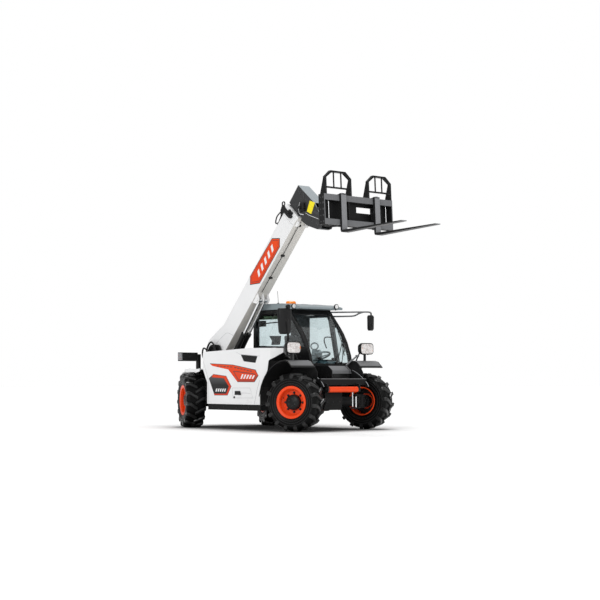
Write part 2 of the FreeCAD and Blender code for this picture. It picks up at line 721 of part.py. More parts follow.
def make_outer_boom():
    tail = plate("boom_tube", "XZ", [
        (-120, -boom_top), (-150, -20), (-130, 190), (-60, 275), (50, 262), (420, boom_top),
        (mouth, boom_top), (mouth, -boom_top),
    ], boom_right, boom_left, {2: 40, 3: 40})
    rim = D.collar_rim
    collar = block("boom_collar", (mouth - D.collar_length, mouth), (boom_right - rim, boom_left + rim),
                   (-boom_top - rim - 14, boom_top + rim - 10))
    lug_half = 6
    lugs = []
    for middle in (-246, -145, -44):
        lugs.append(plate("boom_lug", "XZ", [
            (D.lift_eye_x - 95, 2 - boom_top), (D.lift_eye_x + 95, 2 - boom_top),
            (D.lift_eye_x + 47, D.lift_eye_z - 25), (D.lift_eye_x, D.lift_eye_z - 43),
            (D.lift_eye_x - 47, D.lift_eye_z - 25),
        ], middle - lug_half, middle + lug_half))
    pin_ends = [drum("boom_lug_pin", "Y", (D.lift_eye_x, low, D.lift_eye_z), 14, 20) for low in (-264, -40)]
    cavity = block("boom_cavity", (70, mouth + 5), (cavity_right, cavity_left), (-cavity_top, cavity_top))
    bore = drum("boom_bore", "Y", (0, boom_right - 5, 0), D.boom_width + 10, D.pivot_radius + D.running_fit)
    shell = cut("boom_shell", fuse("boom_solid", tail, collar, *lugs, *pin_ends), cavity, bore)
    gap = D.slide_gap - D.seat_gap
    pads = wear_pads("boom", (mouth - D.pad_length, mouth),
                     ((cavity_right, cavity_right + gap), (cavity_left - gap, cavity_left)),
                     ((-cavity_top, -cavity_top + gap), (cavity_top - gap, cavity_top)))
    return fuse("outer_boom_solid", shell, *pads)


node("outer_boom", make_outer_boom(), **BOOM)

# along the boom beyond its mouth, above its axis
HEAD_OUTLINE = [
    (20, 168), (338, 178), (355, -300), (282, -560), (236, -632), (160, -650), (100, -600), (12, -400),
    (-24, -216), (20, -216),
]
HEAD_CAVITY = [
    (35, 154), (324, 163), (340, -286), (400, -290), (300, -700), (155, -700), (115, -590), (27, -396),
    (-7, -231), (35, -231),
]
head_right = inner_right - 6
head_left = inner_left + 6


def make_inner_boom():
    start = 150
    end = mouth + 50
    tube_wall = 8
    tube = block("inner_tube", (start, end), (inner_right, inner_left), (-inner_top, inner_top))
    tube_void = block("inner_tube_void", (start - 10, end + 10),
                      (inner_right + tube_wall, inner_left - tube_wall),
                      (tube_wall - inner_top, inner_top - tube_wall))
    head = plate("head_outline", "XZ", shifted(HEAD_OUTLINE, mouth), head_right, head_left)
    head_void = plate("head_void", "XZ", shifted(HEAD_CAVITY, mouth),
                      head_right + D.head_plate, head_left - D.head_plate)
    head_bore = drum("head_bore", "Y", (neck_x, head_right - 5, D.neck_z), head_left - head_right + 10,
                     D.tool_pin_radius + D.running_fit)
    shell = fuse("inner_boom_shell", cut("inner_tube_shell", tube, tube_void),
                 cut("head_shell", head, head_void, head_bore))
    gap = D.slide_gap - D.seat_gap
    pads = wear_pads("inner", (start + 10, start + 10 + D.pad_length),
                     ((inner_right - gap, inner_right), (inner_left, inner_left + gap)),
                     ((-inner_top - gap, -inner_top), (inner_top, inner_top + gap)))
    pin = drum("tilt_foot_pin", "Y", (tilt_foot_along, head_right + 2, D.tilt_foot_z),
               head_left - head_right - 4, D.tilt_foot_radius)
    return fuse("inner_boom_solid", shell, pin, *pads)


node("inner_boom_head", make_inner_boom(), **BOOM)


# Cylinders: made along +X from the foot pin; the rod's eye is the open end of each linkage
# foot pin radius, barrel length, barrel radius, rod radius, rod's start, eye radius, half the eye's width
CYLINDERS = {
    "lift_cylinder": (D.foot_radius, 960, 42, 24, 630, 26, 30),
    "levelling_cylinder": (D.foot_radius, 960, 34, 19, 630, 26, 30),
    "tilt_cylinder": (D.tilt_foot_radius, 300, 34, 18, 215, 24, 28),
}


def make_cylinder(name, y, length):
    foot_pin, barrel_length, barrel_radius, rod_radius, rod_start, eye_radius, eye_half = CYLINDERS[name]
    foot = drum(name + "_foot", "Y", (0, y - eye_half, 0), 2 * eye_half, foot_pin + 22)
    tube = drum(name + "_tube", "X", (foot_pin + 12, y, 0), barrel_length - foot_pin - 12, barrel_radius)
    gland = drum(name + "_gland", "X", (barrel_length - 50, y, 0), 50, barrel_radius + 5)
    void = drum(name + "_void", "X", (foot_pin + 38, y, 0), barrel_length, rod_radius + D.seat_gap)
    bore = drum(name + "_bore", "Y", (0, y - eye_half - 5, 0), 2 * eye_half + 10, foot_pin + D.running_fit)
    barrel = cut(name + "_barrel_solid", fuse(name + "_barrel_block", foot, tube, gland), void, bore)
    bar = drum(name + "_rod_bar", "X", (rod_start, y, 0), length - rod_start - eye_radius * 0.6, rod_radius)
    eye = drum(name + "_rod_eye", "Y", (length, y - eye_half, 0), 2 * eye_half, eye_radius)
    return (("barrel", barrel), ("rod", fuse(name + "_rod_solid", bar, eye)))


def raised(origin_x, origin_z, along, up, angle):
    """Where a point of a tilted piece stands along the machine and above the ground."""
    return (origin_x + along * cosine(angle) - up * sine(angle),
            origin_z + along * sine(angle) + up * cosine(angle))


def place_cylinder(name, y, foot, eye):
    run, rise = eye[0] - foot[0], eye[1] - foot[1]
    for suffix, piece in make_cylinder(name, y, square_root(run * run + rise * rise)):
        node(f"{name}_{suffix}", piece, at=(foot[0], 0, foot[1]), axis=SIDEWAYS, angle=slope(rise, run))


lift_foot = (lift_foot_x, D.lift_foot_z)
lift_eye = raised(pivot_x, D.pivot_z, D.lift_eye_x, D.lift_eye_z, D.boom_angle)
neck = raised(pivot_x, D.pivot_z, neck_x, D.neck_z, D.boom_angle)
tilt_foot = raised(pivot_x, D.pivot_z, tilt_foot_along, D.tilt_foot_z, D.boom_angle)
tilt_pin = raised(*neck, D.tilt_pin_ahead, as_size(0), D.tool_angle)
place_cylinder("lift_cylinder", -196, lift_foot, lift_eye)
place_cylinder("levelling_cylinder", -95, lift_foot, lift_eye)
place_cylinder("tilt_cylinder", D.boom_y, tilt_foot, tilt_pin)

# Tool: coupler, fork carriage, forks and load guards about the tool pivot
TOOL = {"at": (neck[0], 0, neck[1]), "axis": SIDEWAYS, "angle": D.tool_angle}
face_x = D.carriage_front
back_x = face_x - D.carriage_depth
half = D.carriage_half


def make_coupler():
    ear_front = back_x - 32
    outline = [
        (-42, 0), (-30, -34), (0, -46), (90, -70), (ear_front, -100), (ear_front, 200),
        (ear_front - 130, 150), (30, 40), (0, 46), (-30, 34),
    ]
    ear_wall = 20
    ears = []
    for low in (head_right + D.head_plate + 6, head_left - D.head_plate - 6 - ear_wall):
        ears.append(plate("coupler_ear", "XZ", outline, low, low + ear_wall))
    face = block("coupler_face", (ear_front, back_x - D.seat_gap), (-330, 30), (-110, 230))
    hooks = plate("coupler_hook", "XZ", [
        (ear_front - 40, 180), (ear_front, 236), (back_x - D.seat_gap, 244), (back_x - D.seat_gap, 200),
        (ear_front, 190),
    ], -320, 20)
    pin_ends = [drum("coupler_pin", "Y", (0, head_right - 10, 0), 56, D.tool_pin_radius),
                drum("coupler_pin_left", "Y", (0, head_left - 46, 0), 56, D.tool_pin_radius)]
    tilt_pin_bar = drum("coupler_tilt_pin", "Y", (D.tilt_pin_ahead, head_right + 30, 0), 20, 16)
    return fuse("coupler_solid", *ears, face, hooks, *pin_ends, tilt_pin_bar)


node("tool_coupler", make_coupler(), **TOOL)

CARRIAGE_TOP = (222, 310)
CARRIAGE_LOW = (-130, -46)
CARRIAGE_WINDOW = (92, 176)


def make_carriage():
    bars = [block("carriage_bar", (face_x - 45, face_x), (-half, half), span)
            for span in (CARRIAGE_TOP, CARRIAGE_LOW)]
    reach = (CARRIAGE_LOW[0], CARRIAGE_TOP[1])
    for side in (-1, 1):
        bars.append(block("carriage_end", (back_x, face_x), to_side(side, half - 16, half), reach))
    back = block("carriage_back", (back_x, back_x + 16), (-half, half), reach)
    window = block("carriage_window", (back_x - 10, back_x + 26), (40, 330), CARRIAGE_WINDOW)
    ribs = [block("carriage_rib", (back_x, face_x - 10), (y, y + 16), (reach[0], reach[1] - 10))
            for y in (-200, 345)]
    return fuse("carriage_solid", *bars, cut("carriage_back_plate", back, window), *ribs)


node("fork_carriage", make_carriage(), **TOOL)

shank = face_x + D.seat_gap
blade = shank + D.fork_thick
fork_tip = blade + D.fork_length
drop = D.fork_drop
FORK_OUTLINE = [
    (shank, 330), (blade, 330), (blade, D.fork_thick - drop), (fork_tip, 12 - drop + D.blade_rise),
    (fork_tip, D.blade_rise - drop), (blade + 20, -drop), (shank + 10, 12 - drop), (shank, 40 - drop),
]
forks = []
for side in (-1, 1):
    middle = side * D.fork_y
    forks.append(plate("fork", "XZ", FORK_OUTLINE, middle - D.fork_width / 2, middle + D.fork_width / 2))
node("forks", *forks, **TOOL)

# Load guards: a hoop of flat bar on two side plates that widen towards the carriage
GUARDS = ((-640, -130), (200, 675))  # right edge, left edge
GUARD_FOOT, GUARD_CROWN, GUARD_TOP = 310, 560, 655
GUARD_CORNER = 110
GUARD_DEPTH = 50
GUARD_FOOT_DEPTH = 125
guard_face = face_x - 5
guard_back = guard_face - GUARD_DEPTH


def guard_hoop(low, high, inset, base):
    low_in, high_in = low + inset, high - inset
    crown = GUARD_CROWN - inset * 0.4
    return [(low_in, base), (low_in, crown), (low_in + GUARD_CORNER, GUARD_TOP - inset),
            (high_in - GUARD_CORNER, GUARD_TOP - inset), (high_in, crown), (high_in, base)]


def make_guard(low, high):
    outer = plate("guard_outer", "YZ", guard_hoop(low, high, 0, GUARD_FOOT), guard_back, guard_face)
    inner = plate("guard_inner", "YZ", guard_hoop(low, high, D.guard_tube, GUARD_FOOT - 10),
                  guard_back - 10, guard_face + 10)
    cheek = [(guard_face - GUARD_FOOT_DEPTH, GUARD_FOOT), (guard_back, GUARD_CROWN - 20),
             (guard_face, GUARD_CROWN - 20), (guard_face, GUARD_FOOT)]
    cheeks = [plate("guard_cheek", "XZ", cheek, y, y + D.guard_tube) for y in (low, high - D.guard_tube)]
    rail = block("guard_rail", (guard_back + 12, guard_face - 12), (low + 10, high - 10), (400, 422))
    bars = [drum("guard_bar", "Z", (guard_back + 25, low + (high - low) * share, 412), 230, 11)
            for share in (0.36, 0.64)]
    return fuse("guard", cut("guard_hoop", outer, inner), *cheeks, rail, *bars)


node("load_guards", *[make_guard(low, high) for low, high in GUARDS], **TOOL)


# Cab: frame with window and door openings, roof, panes, door and fittings
# The front pillars' outer line from the dash up to the roof, seen from the side
SCREEN_LINE = [(-500, 946), (-534, 1111), (-613, 1308), (-705, 1461), (-821, 1600), (-961, 1756)]
UPPER_LINE = SCREEN_LINE[2:]
cab_step = D.cab_step
CAB_OUTLINE = [(-600, D.cab_floor), (-600, 720), (-500, 860)] + SCREEN_LINE + [
    (-1015, D.cab_top), (cab_rear + 10, D.cab_top), (cab_rear, 1700), (cab_rear, cab_step),
    (cab_low_rear, cab_step), (cab_low_rear, D.cab_floor),
]
pillar = D.pillar_depth
rear_wall = D.cab_wall
CAB_VOID = [(-656, 600), (-656, 738), (-560, 872)] + shifted(SCREEN_LINE, -pillar) + [
    (-1000 - pillar, 1780), (cab_rear + rear_wall, 1780), (cab_rear + rear_wall, cab_step + rear_wall),
    (cab_low_rear + rear_wall, cab_step + rear_wall), (cab_low_rear + rear_wall, 600),
]
window_rear = cab_rear + rear_wall + 10
RIGHT_WINDOW = [(-582 - pillar, 1236)] + shifted(UPPER_LINE, -pillar - 8) + [
    (window_rear, 1756), (window_rear, 1236),
]
door_hinge_x = cab_low_rear + D.door_hinge_ahead
door_rear = door_hinge_x + 22
DOOR_FRONT = [(-800, 610), (-842, 1100), (-972, 1660), (-1010, 1756)]
DOOR_OPENING = DOOR_FRONT + [(door_rear, 1756), (door_rear, 610)]
QUARTER_WINDOW = [(-787, 1000), (-512 - pillar, 1000)] + shifted(SCREEN_LINE[1:4], -pillar) + [
    (-838, 1545), (-903, 1545),
]
SCREEN_FOOT, SCREEN_HEAD = 975, 1745
rear_pane_y = (D.cab_right + 90, D.cab_left - 90)
rear_pane_z = (cab_step + 80, 1740)


def make_cab_frame():
    inside = (D.cab_right + D.cab_wall, D.cab_left - D.cab_wall)
    solid = plate("cab_outline", "XZ", CAB_OUTLINE, D.cab_right, D.cab_left)
    void = plate("cab_void", "XZ", CAB_VOID, *inside)
    screen = block("cab_screen_cut", (-1000, -480), inside, (SCREEN_FOOT, SCREEN_HEAD))
    door = plate("cab_door_cut", "XZ", DOOR_OPENING, inside[1] - 10, D.cab_left + 10)
    quarter = plate("cab_quarter_cut", "XZ", QUARTER_WINDOW, inside[1] - 10, D.cab_left + 10)
    window = plate("cab_window_cut", "XZ", RIGHT_WINDOW, D.cab_right - 10, inside[0] + 10)
    rear = block("cab_rear_cut", (cab_rear - 20, cab_rear + rear_wall + 20), rear_pane_y, rear_pane_z)
    nose = plate("cab_nose", "XZ", [
        (-520, 580), (-520, 946), (-140, 946), (-50, 880), (-50, 760), (-120, 580),
    ], 58, 410)
    nose_void = block("cab_nose_void", (-560, -150), (72, 396), (596, 930))
    shell = cut("cab_shell", solid, void, screen, door, quarter, window, rear)
    return fuse("cab_frame_solid", shell, cut("cab_nose_shell", nose, nose_void))


roof_low = D.cab_top + 26
node("cab_roof", plate("cab_roof_solid", "XZ", [
    (-745, D.cab_top), (-745, roof_low), (-775, roof_low + 16), (-900, roof_low + 44), (-1150, roof_low + 64),
    (cab_rear + 140, roof_low + 72), (cab_rear + 20, roof_low + 40), (cab_rear - 8, D.cab_top),
], D.cab_right - 14, D.cab_left + 14))

glass = D.glass_wall
screen_band = plate("screen_band", "XZ", shifted(SCREEN_LINE, -12) + shifted(SCREEN_LINE, -12 - glass)[::-1],
                    D.cab_right + D.cab_wall, D.cab_left - D.cab_wall)
windscreen = common("windscreen_pane", screen_band, block(
    "screen_limits", (-1010, -480), (D.cab_right, D.cab_left), (SCREEN_FOOT, SCREEN_HEAD)))
side_pane = plate("side_pane", "XZ", RIGHT_WINDOW, D.cab_right + 20, D.cab_right + 20 + glass)
quarter_pane = plate("quarter_pane", "XZ", QUARTER_WINDOW, D.cab_left - 20 - glass, D.cab_left - 20)
rear_pane = block("rear_pane", (cab_rear + 20, cab_rear + 20 + glass), rear_pane_y, rear_pane_z)
node("cab_glass", windscreen, side_pane, quarter_pane, rear_pane)

door_gap = 4
door_rim = 44
DOOR_OUTER = shifted(DOOR_FRONT[:1], -door_gap, door_gap) + shifted(DOOR_FRONT[1:3], -door_gap) + [
    (-1013, 1752), (door_rear + door_gap, 1752), (door_rear + door_gap, 610 + door_gap),
]
DOOR_INNER = shifted([(-820, 850)] + DOOR_FRONT[1:3], -door_rim) + [
    (-1046, 1710), (door_rear + door_rim, 1710), (door_rear + door_rim, 850),
]
door_frame = cut("door_frame", plate("door_outline", "XZ", DOOR_OUTER, D.cab_left - 40, D.cab_left - 4),
                 plate("door_window", "XZ", DOOR_INNER, D.cab_left - 60, D.cab_left + 10))
DOOR_HINGES = (760, 1180, 1660)
LEAF_HIGH = 40
door_leaves = []
cab_leaves = []
leaf_end = door_rear + 28
for z in DOOR_HINGES:
    line = (door_hinge_x, D.door_hinge_y)
    leaf = fuse("door_leaf_solid",
                block("door_leaf", (line[0], leaf_end), (D.cab_left + 2, line[1] + 4), (z, z + LEAF_HIGH)),
                block("door_leaf_root", (door_rear + 6, leaf_end), (D.cab_left - 6, D.cab_left + 4),
                      (z, z + LEAF_HIGH)),
                drum("door_leaf_barrel", "Z", (*line, z), LEAF_HIGH, D.hinge_radius))
    bore = drum("door_leaf_bore", "Z", (*line, z - 5), LEAF_HIGH + 10, HINGE_PIN + D.running_fit)
    door_leaves.append(cut("door_leaf_bored", leaf, bore))
    low = z - LEAF_HIGH - D.seat_gap
    cab_leaves.append(block("cab_leaf", (line[0] - 30, line[0]), (D.cab_left, line[1] + 4),
                            (low, low + LEAF_HIGH)))
    cab_leaves.append(drum("cab_leaf_barrel", "Z", (*line, low), LEAF_HIGH, D.hinge_radius))
    cab_leaves.append(drum("cab_leaf_pin", "Z", (*line, low + 30), LEAF_HIGH + 6, HINGE_PIN))
node("cab_door", fuse("cab_door_solid", door_frame, *door_leaves))
node("cab_frame", fuse("cab_frame_whole", make_cab_frame(), *cab_leaves))
node("door_glass", plate("door_pane", "XZ", DOOR_INNER, D.cab_left - 26, D.cab_left - 26 + glass))

# Cab inside
floor_z = 600
floor_length = -656 - cab_low_rear


def on_floor(share):
    """A place along the cab's floor, as a share of its length from the rear wall."""
    return cab_low_rear + floor_length * share


seat_y = D.seat_y
base_top = 860
node("seat_base", block("seat_base_solid", (on_floor(0.27), on_floor(0.59)), (seat_y - 180, seat_y + 180),
                        (floor_z, base_top)))
cushion_low = base_top + D.seat_gap
seat_rear, seat_front = on_floor(0.21), on_floor(0.69)
cushion = plate("seat_cushion", "XZ", [
    (seat_rear, cushion_low), (seat_rear, 960), (seat_rear + 60, 980), (seat_front - 60, 975),
    (seat_front, 930), (seat_front - 10, cushion_low),
], seat_y - 240, seat_y + 240, {4: 30})
back = plate("seat_back", "XZ", [
    (seat_rear, 965), (seat_rear - 90, 1400), (seat_rear - 20, 1430), (seat_rear + 30, 1400),
    (seat_rear + 95, 981), (seat_rear + 60, 980.5),
], seat_y - 220, seat_y + 220)
node("seat", fuse("seat_solid", cushion, back))
COLUMN_TOP = (-800, 1085)
COLUMN_BEND = (-720, 880)
bend_x, bend_z = COLUMN_BEND
column_foot = rod("column_foot", (bend_x, seat_y, floor_z + D.seat_gap), (bend_x, seat_y, bend_z + 8), 34)
column_head = rod("column_head", (bend_x, seat_y, bend_z), (COLUMN_TOP[0], seat_y, COLUMN_TOP[1]), 30)
ring_radius = 175
RING_SECTION = [(-12, 0), (-6, -11), (6, -11), (12, 0), (6, 11), (-6, 11)]
ring = turned("steering_ring", [(along, ring_radius + out) for along, out in RING_SECTION])
spoke = block("steering_spoke", (-ring_radius + 5, ring_radius - 5), (-8, 8), (-22, 22))
hub = drum("steering_hub", "Y", (0, -14, 0), 28, 46)
upright_wheel = fuse("steering_wheel_turned", ring, spoke, hub)
upright_wheel.Placement = Placement(Vector(), Rotation(Vector(1, 0, 0), 90))
wheel_lean = as_size(math.degrees(math.atan2(bend_x - COLUMN_TOP[0], COLUMN_TOP[1] - bend_z)))
hub_rise = 14 + D.seat_gap
node("steering_wheel", upright_wheel, axis=SIDEWAYS, angle=wheel_lean,
     at=(COLUMN_TOP[0] - hub_rise * sine(wheel_lean), seat_y, COLUMN_TOP[1] + hub_rise * cosine(wheel_lean)))
dashboard = plate("dashboard_solid", "XZ", [
    (-657, 601), (-657, 738), (-561, 873), (-561, 948), (-574, 1005), (-620, 1030), (-690, 990),
    (-710, 601),
], 300, 640)
console = block("console_solid", (on_floor(0.19), on_floor(0.76)), (D.cab_right + D.cab_wall + 4, 215),
                (floor_z, 1010))
node("cab_consoles", fuse("steering_column_solid", dashboard, column_foot, column_head), console)

# Cab outside
lamp_z = roof_low + 38
lamp_solids = []
for y in (110, 830):
    lamp_solids.append(fuse("work_lamp", drum("work_lamp_body", "X", (-735, y, lamp_z), 46, 38),
                            block("work_lamp_foot", (-744.7, -710), (y - 8, y + 8),
                                  (D.cab_top + 4, lamp_z - 34))))
node("work_lamps", *lamp_solids)
beacon_x = (cab_rear + 140 - 1150) / 2
beacon_foot = roof_low + 68.8
node("beacon", fuse("beacon_solid", drum("beacon_base", "Z", (beacon_x, 450, beacon_foot), 12, 62),
                    drum("beacon_lens", "Z", (beacon_x, 450, beacon_foot + 11), 34, 55)))

# Front: fenders, headlights, mirrors, safety strut
ARCH_X, ARCH_Z = 40, 395
arch_outer = D.fender_radius
arch_inner = D.fender_radius - D.fender_wall
front_fenders = []
headlights = []
for side_name, side in SIDES:
    arch_rear = -480 if side > 0 else -590
    low, high = to_side(side, D.fender_inner_y, D.fender_outer_y)
    over = (low - 5, high - low + 10)
    outer_ring = drum("fender_outer", "Y", (ARCH_X, low, ARCH_Z), high - low, arch_outer)
    inner_ring = drum("fender_inner", "Y", (ARCH_X, over[0], ARCH_Z), over[1], arch_inner)
    wedge = plate("fender_wedge", "XZ", [
        (ARCH_X, ARCH_Z), (0, 1100), (arch_rear, 1100), (arch_rear, 660),
    ], low - 1, high + 1)
    arch = common("fender_arch", cut("fender_ring", outer_ring, inner_ring), wedge)
    lip = plate("fender_lip", "XZ", [
        (-4, 1012), (-4, 1021.5), (62, 1006), (152, 926), (148, 916), (57, 996),
    ], low, high)
    fender_wall = plate("fender_wall_plate", "XZ", [
        (-440, 762), (-400, 845), (-300, 919), (-150, 985), (0, 1015), (58, 1000), (149, 920), (200, 850),
        (200, 700), (160, 700), (120, 762),
    ], *to_side(side, D.fender_inner_y, D.fender_inner_y + 8))
    front_fenders.append(fuse("front_fender", arch, lip, fender_wall))
    post_x = (-60, -20)
    post_y = to_side(side, 710, 750)
    foot = cut("headlight_foot", block("headlight_foot_block", post_x, post_y, (990, 1021)),
               drum("headlight_foot_arch", "Y", (ARCH_X, over[0], ARCH_Z), over[1], arch_outer + D.seat_gap))
    lamp_low, lamp_high = 1122, 1288
    lamp = plate("headlight_box", "YZ", [
        (low_y, z) for low_y, z in zip((*to_side(side, 600, 860), *to_side(side, 600, 860)[::-1]),
                                       (lamp_low, lamp_low, lamp_high, lamp_high))
    ], -100, -2, {0: 40, 1: 40, 2: 40, 3: 40})
    post = block("headlight_post", post_x, post_y, (1020, lamp_low + 6))
    headlights.append(fuse("headlight", foot, post, lamp))
node("front_fenders", *front_fenders)
node("headlights", *headlights)

mirror_x, mirror_y = -150, -730
right_stalk = fuse("mirror_right_stalk",
                   drum("mirror_right_arm", "X", (mirror_x - 12, mirror_y, 1090),
                        -60 - D.seat_gap + 12 - mirror_x, 13),
                   drum("mirror_right_post", "Z", (mirror_x, mirror_y, 1078), 480, 13))
right_box = plate("mirror_right_box", "XY", [
    (-160, -925), (-160, -675), (-100, -690), (-85, -800), (-100, -910),
], 1400, 1780)
MIRROR_ELBOW = (-450, 1215)
arm_root = D.cab_top - 40
left_rods = [rod("mirror_left_arm", (-1000, D.cab_left + 8, arm_root + rise), (*MIRROR_ELBOW, 1792), 9)
             for rise in (10, 30)]
arm_foot = block("mirror_left_foot", (-1020, -980), (D.cab_left + D.seat_gap, D.cab_left + 14),
                 (arm_root, arm_root + 40))
left_stalk = fuse("mirror_left_stalk", arm_foot, *left_rods,
                  drum("mirror_left_post", "Z", (*MIRROR_ELBOW, 1600), 200, 10))
left_box = plate("mirror_left_box", "XY", [
    (-460, 1130), (-460, 1300), (-410, 1290), (-400, 1215), (-410, 1140),
], 1490, 1740)
node("mirrors", fuse("mirror_right", right_stalk, right_box), fuse("mirror_left", left_stalk, left_box))
node("front_strut", drum("front_strut_tube", "Y", (D.strut_x, D.strut_middle - D.strut_length / 2, D.strut_z),
                         D.strut_length, D.strut_radius))

# Write-out
doc.recompute()
failed = [thing.Name for thing in doc.Objects if {"Invalid", "Error"} & set(thing.State)]
failed += [kept.Label for kept in NODES if kept.Shape.isNull() or not kept.Shape.isValid()]
if failed:
    raise SystemExit("failed: " + ", ".join(failed))
os.makedirs("parts", exist_ok=True)
for kept in NODES:
    kept.Shape.exportStep(f"parts/{kept.Label}.step")
    print(f"{kept.Label:28s} {len(kept.Shape.Solids)} solids {kept.Shape.Volume / 1e9:.5f} m3")
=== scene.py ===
"""Dresses the telehandler: finishes, tyres, trim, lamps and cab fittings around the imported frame."""
import json
import math

import bmesh
import bpy
from mathutils import Matrix, Vector


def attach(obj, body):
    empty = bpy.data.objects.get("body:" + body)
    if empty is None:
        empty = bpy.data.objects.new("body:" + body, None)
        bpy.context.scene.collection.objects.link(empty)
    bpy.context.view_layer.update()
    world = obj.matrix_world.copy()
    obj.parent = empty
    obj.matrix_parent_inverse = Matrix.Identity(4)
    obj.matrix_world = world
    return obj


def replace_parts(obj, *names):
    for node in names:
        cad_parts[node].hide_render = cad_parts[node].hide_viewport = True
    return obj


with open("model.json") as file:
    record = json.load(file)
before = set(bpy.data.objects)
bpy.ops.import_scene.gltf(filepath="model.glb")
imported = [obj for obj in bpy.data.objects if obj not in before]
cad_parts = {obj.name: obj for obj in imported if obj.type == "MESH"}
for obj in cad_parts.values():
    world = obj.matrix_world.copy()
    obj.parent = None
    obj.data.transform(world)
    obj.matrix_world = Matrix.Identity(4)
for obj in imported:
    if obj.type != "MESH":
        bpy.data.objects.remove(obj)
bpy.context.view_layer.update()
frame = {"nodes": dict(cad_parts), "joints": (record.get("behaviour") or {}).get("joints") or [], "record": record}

# Places, all read from the frame: the machine's own axes, the boom, the tool and the wheels
JOINTS = {joint["name"]: joint for joint in frame["joints"]}


def joint_place(name):
    return Vector(JOINTS[name]["pos_m"])


UNDER_AXLE = (joint_place("steer_front_right") + joint_place("steer_front_left")) / 2
UNDER_AXLE.z = 0.0
BOOM_WAY = Vector(JOINTS["boom_extend"]["axis"])
TOOL_ANGLE = 3.0
CORNERS = ("front_left", "front_right", "rear_left", "rear_right")


def leaning(joint, degrees):
    """The frame of a piece that leans about a sideways pin, with its sideways places those of the machine."""
    pin = joint_place(joint)
    pin.y = UNDER_AXLE.y
    return Matrix.Translation(pin) @ Matrix.Rotation(-math.radians(degrees), 4, "Y")


MACHINE = Matrix.Translation(UNDER_AXLE)
BOOM = leaning("boom_lift", math.degrees(math.atan2(BOOM_WAY.z, BOOM_WAY.x)))
TOOL = leaning("tool_tilt", TOOL_ANGLE)


def wheel_frame(corner):
    """A wheel's frame: its middle, local Y outboard, local X the way that its top rolls forward."""
    centre = joint_place("roll_" + corner)
    across = Vector(JOINTS["roll_" + corner]["axis"])
    if across.y * (1 if corner.endswith("left") else -1) < 0:
        across = -across
    up = Vector((0, 0, 1))
    ahead = across.cross(up)
    if ahead.x < 0:
        ahead = -ahead
    turn = Matrix((ahead, across, up)).transposed().to_4x4()
    return Matrix.Translation(centre) @ turn


# Camera: the photograph's eye, low and ahead of the machine's right side
EYE = UNDER_AXLE + Vector((15.966, -14.553, 0.792))
AIM = UNDER_AXLE + Vector((-0.287, -0.363, 1.915))
LENS = 87.9


def make_camera():
    data = bpy.data.cameras.new("photo_camera")
    camera = bpy.data.objects.new("photo_camera", data)
    bpy.context.scene.collection.objects.link(camera)
    data.lens = LENS
    data.sensor_width = 36.0
    camera.location = EYE
    camera.rotation_mode = "QUATERNION"
    camera.rotation_quaternion = (AIM - EYE).to_track_quat("-Z", "Y")
    data.clip_end = 200.0
    bpy.context.scene.camera = camera


make_camera()

# Shader groups: each effect is built once and placed in the finishes with its own values


class Effect:
    """A shader node group being wired; node() adds a node with its wires and settings."""

    def __init__(self, name, inputs, outputs):
        self.tree = bpy.data.node_groups.new(name, "ShaderNodeTree")
        for label, value in inputs:
            socket = self.tree.interface.new_socket(label, in_out="INPUT", socket_type="NodeSocketFloat")
            socket.default_value = value
        for label in outputs:
            self.tree.interface.new_socket(label, in_out="OUTPUT", socket_type="NodeSocketFloat")
        self.into = self.tree.nodes.new("NodeGroupInput").outputs
        self.out = self.tree.nodes.new("NodeGroupOutput")

    def node(self, kind, wires=None, **settings):
        return add_node(self.tree, kind, wires, **settings)

    def sum(self, operation, first, second, clamp=False):
        return self.node("ShaderNodeMath", {0: first, 1: second}, operation=operation, use_clamp=clamp).outputs[0]

    def place(self):
        return self.node("ShaderNodeTexCoord").outputs["Object"]

    def give(self, label, socket):
        self.tree.links.new(socket, self.out.inputs[label])


def add_node(tree, kind, wires=None, **settings):
    """A node of a tree, with its settings and with each named input wired to a socket or set to a value."""
    node = tree.nodes.new(kind)
    for name, value in settings.items():
        setattr(node, name, value)
    for name, value in (wires or {}).items():
        if isinstance(value, bpy.types.NodeSocket):
            tree.links.new(value, node.inputs[name])
        else:
            node.inputs[name].default_value = value
    return node


def edge_wear():
    """Bright thin edges: where the rounded normal leaves the face's own, broken up by noise."""
    fx = Effect("edge_wear", [("Radius", 0.004), ("Cover", 0.5), ("Scale", 40.0)], ["Mask"])
    round_edge = fx.node("ShaderNodeBevel", {"Radius": fx.into["Radius"]}, samples=4)
    flat = fx.node("ShaderNodeNewGeometry")
    along = fx.node("ShaderNodeVectorMath", {0: round_edge.outputs[0], 1: flat.outputs["Normal"]},
                    operation="DOT_PRODUCT")
    bend = fx.sum("SUBTRACT", 1.0, along.outputs["Value"])
    noise = fx.node("ShaderNodeTexNoise", {"Vector": fx.place(), "Scale": fx.into["Scale"], "Detail": 4.0,
                                           "Roughness": 0.7})
    chance = fx.sum("MULTIPLY", noise.outputs["Fac"], fx.into["Cover"])
    worn = fx.sum("MULTIPLY", bend, chance)
    sharp = fx.node("ShaderNodeMapRange", {"Value": worn, "From Min": 0.012, "From Max": 0.05})
    fx.give("Mask", sharp.outputs["Result"])
    return fx.tree


def paint_skin():
    """The slight orange peel of sprayed paint and its slow drift in tone."""
    fx = Effect("paint_skin", [("Peel Scale", 260.0), ("Drift Scale", 1.6)], ["Height", "Drift"])
    place = fx.place()
    peel = fx.node("ShaderNodeTexNoise", {"Vector": place, "Scale": fx.into["Peel Scale"], "Detail": 2.0})
    drift = fx.node("ShaderNodeTexNoise", {"Vector": place, "Scale": fx.into["Drift Scale"], "Detail": 5.0})
    fx.give("Height", peel.outputs["Fac"])
    fx.give("Drift", drift.outputs["Fac"])
    return fx.tree


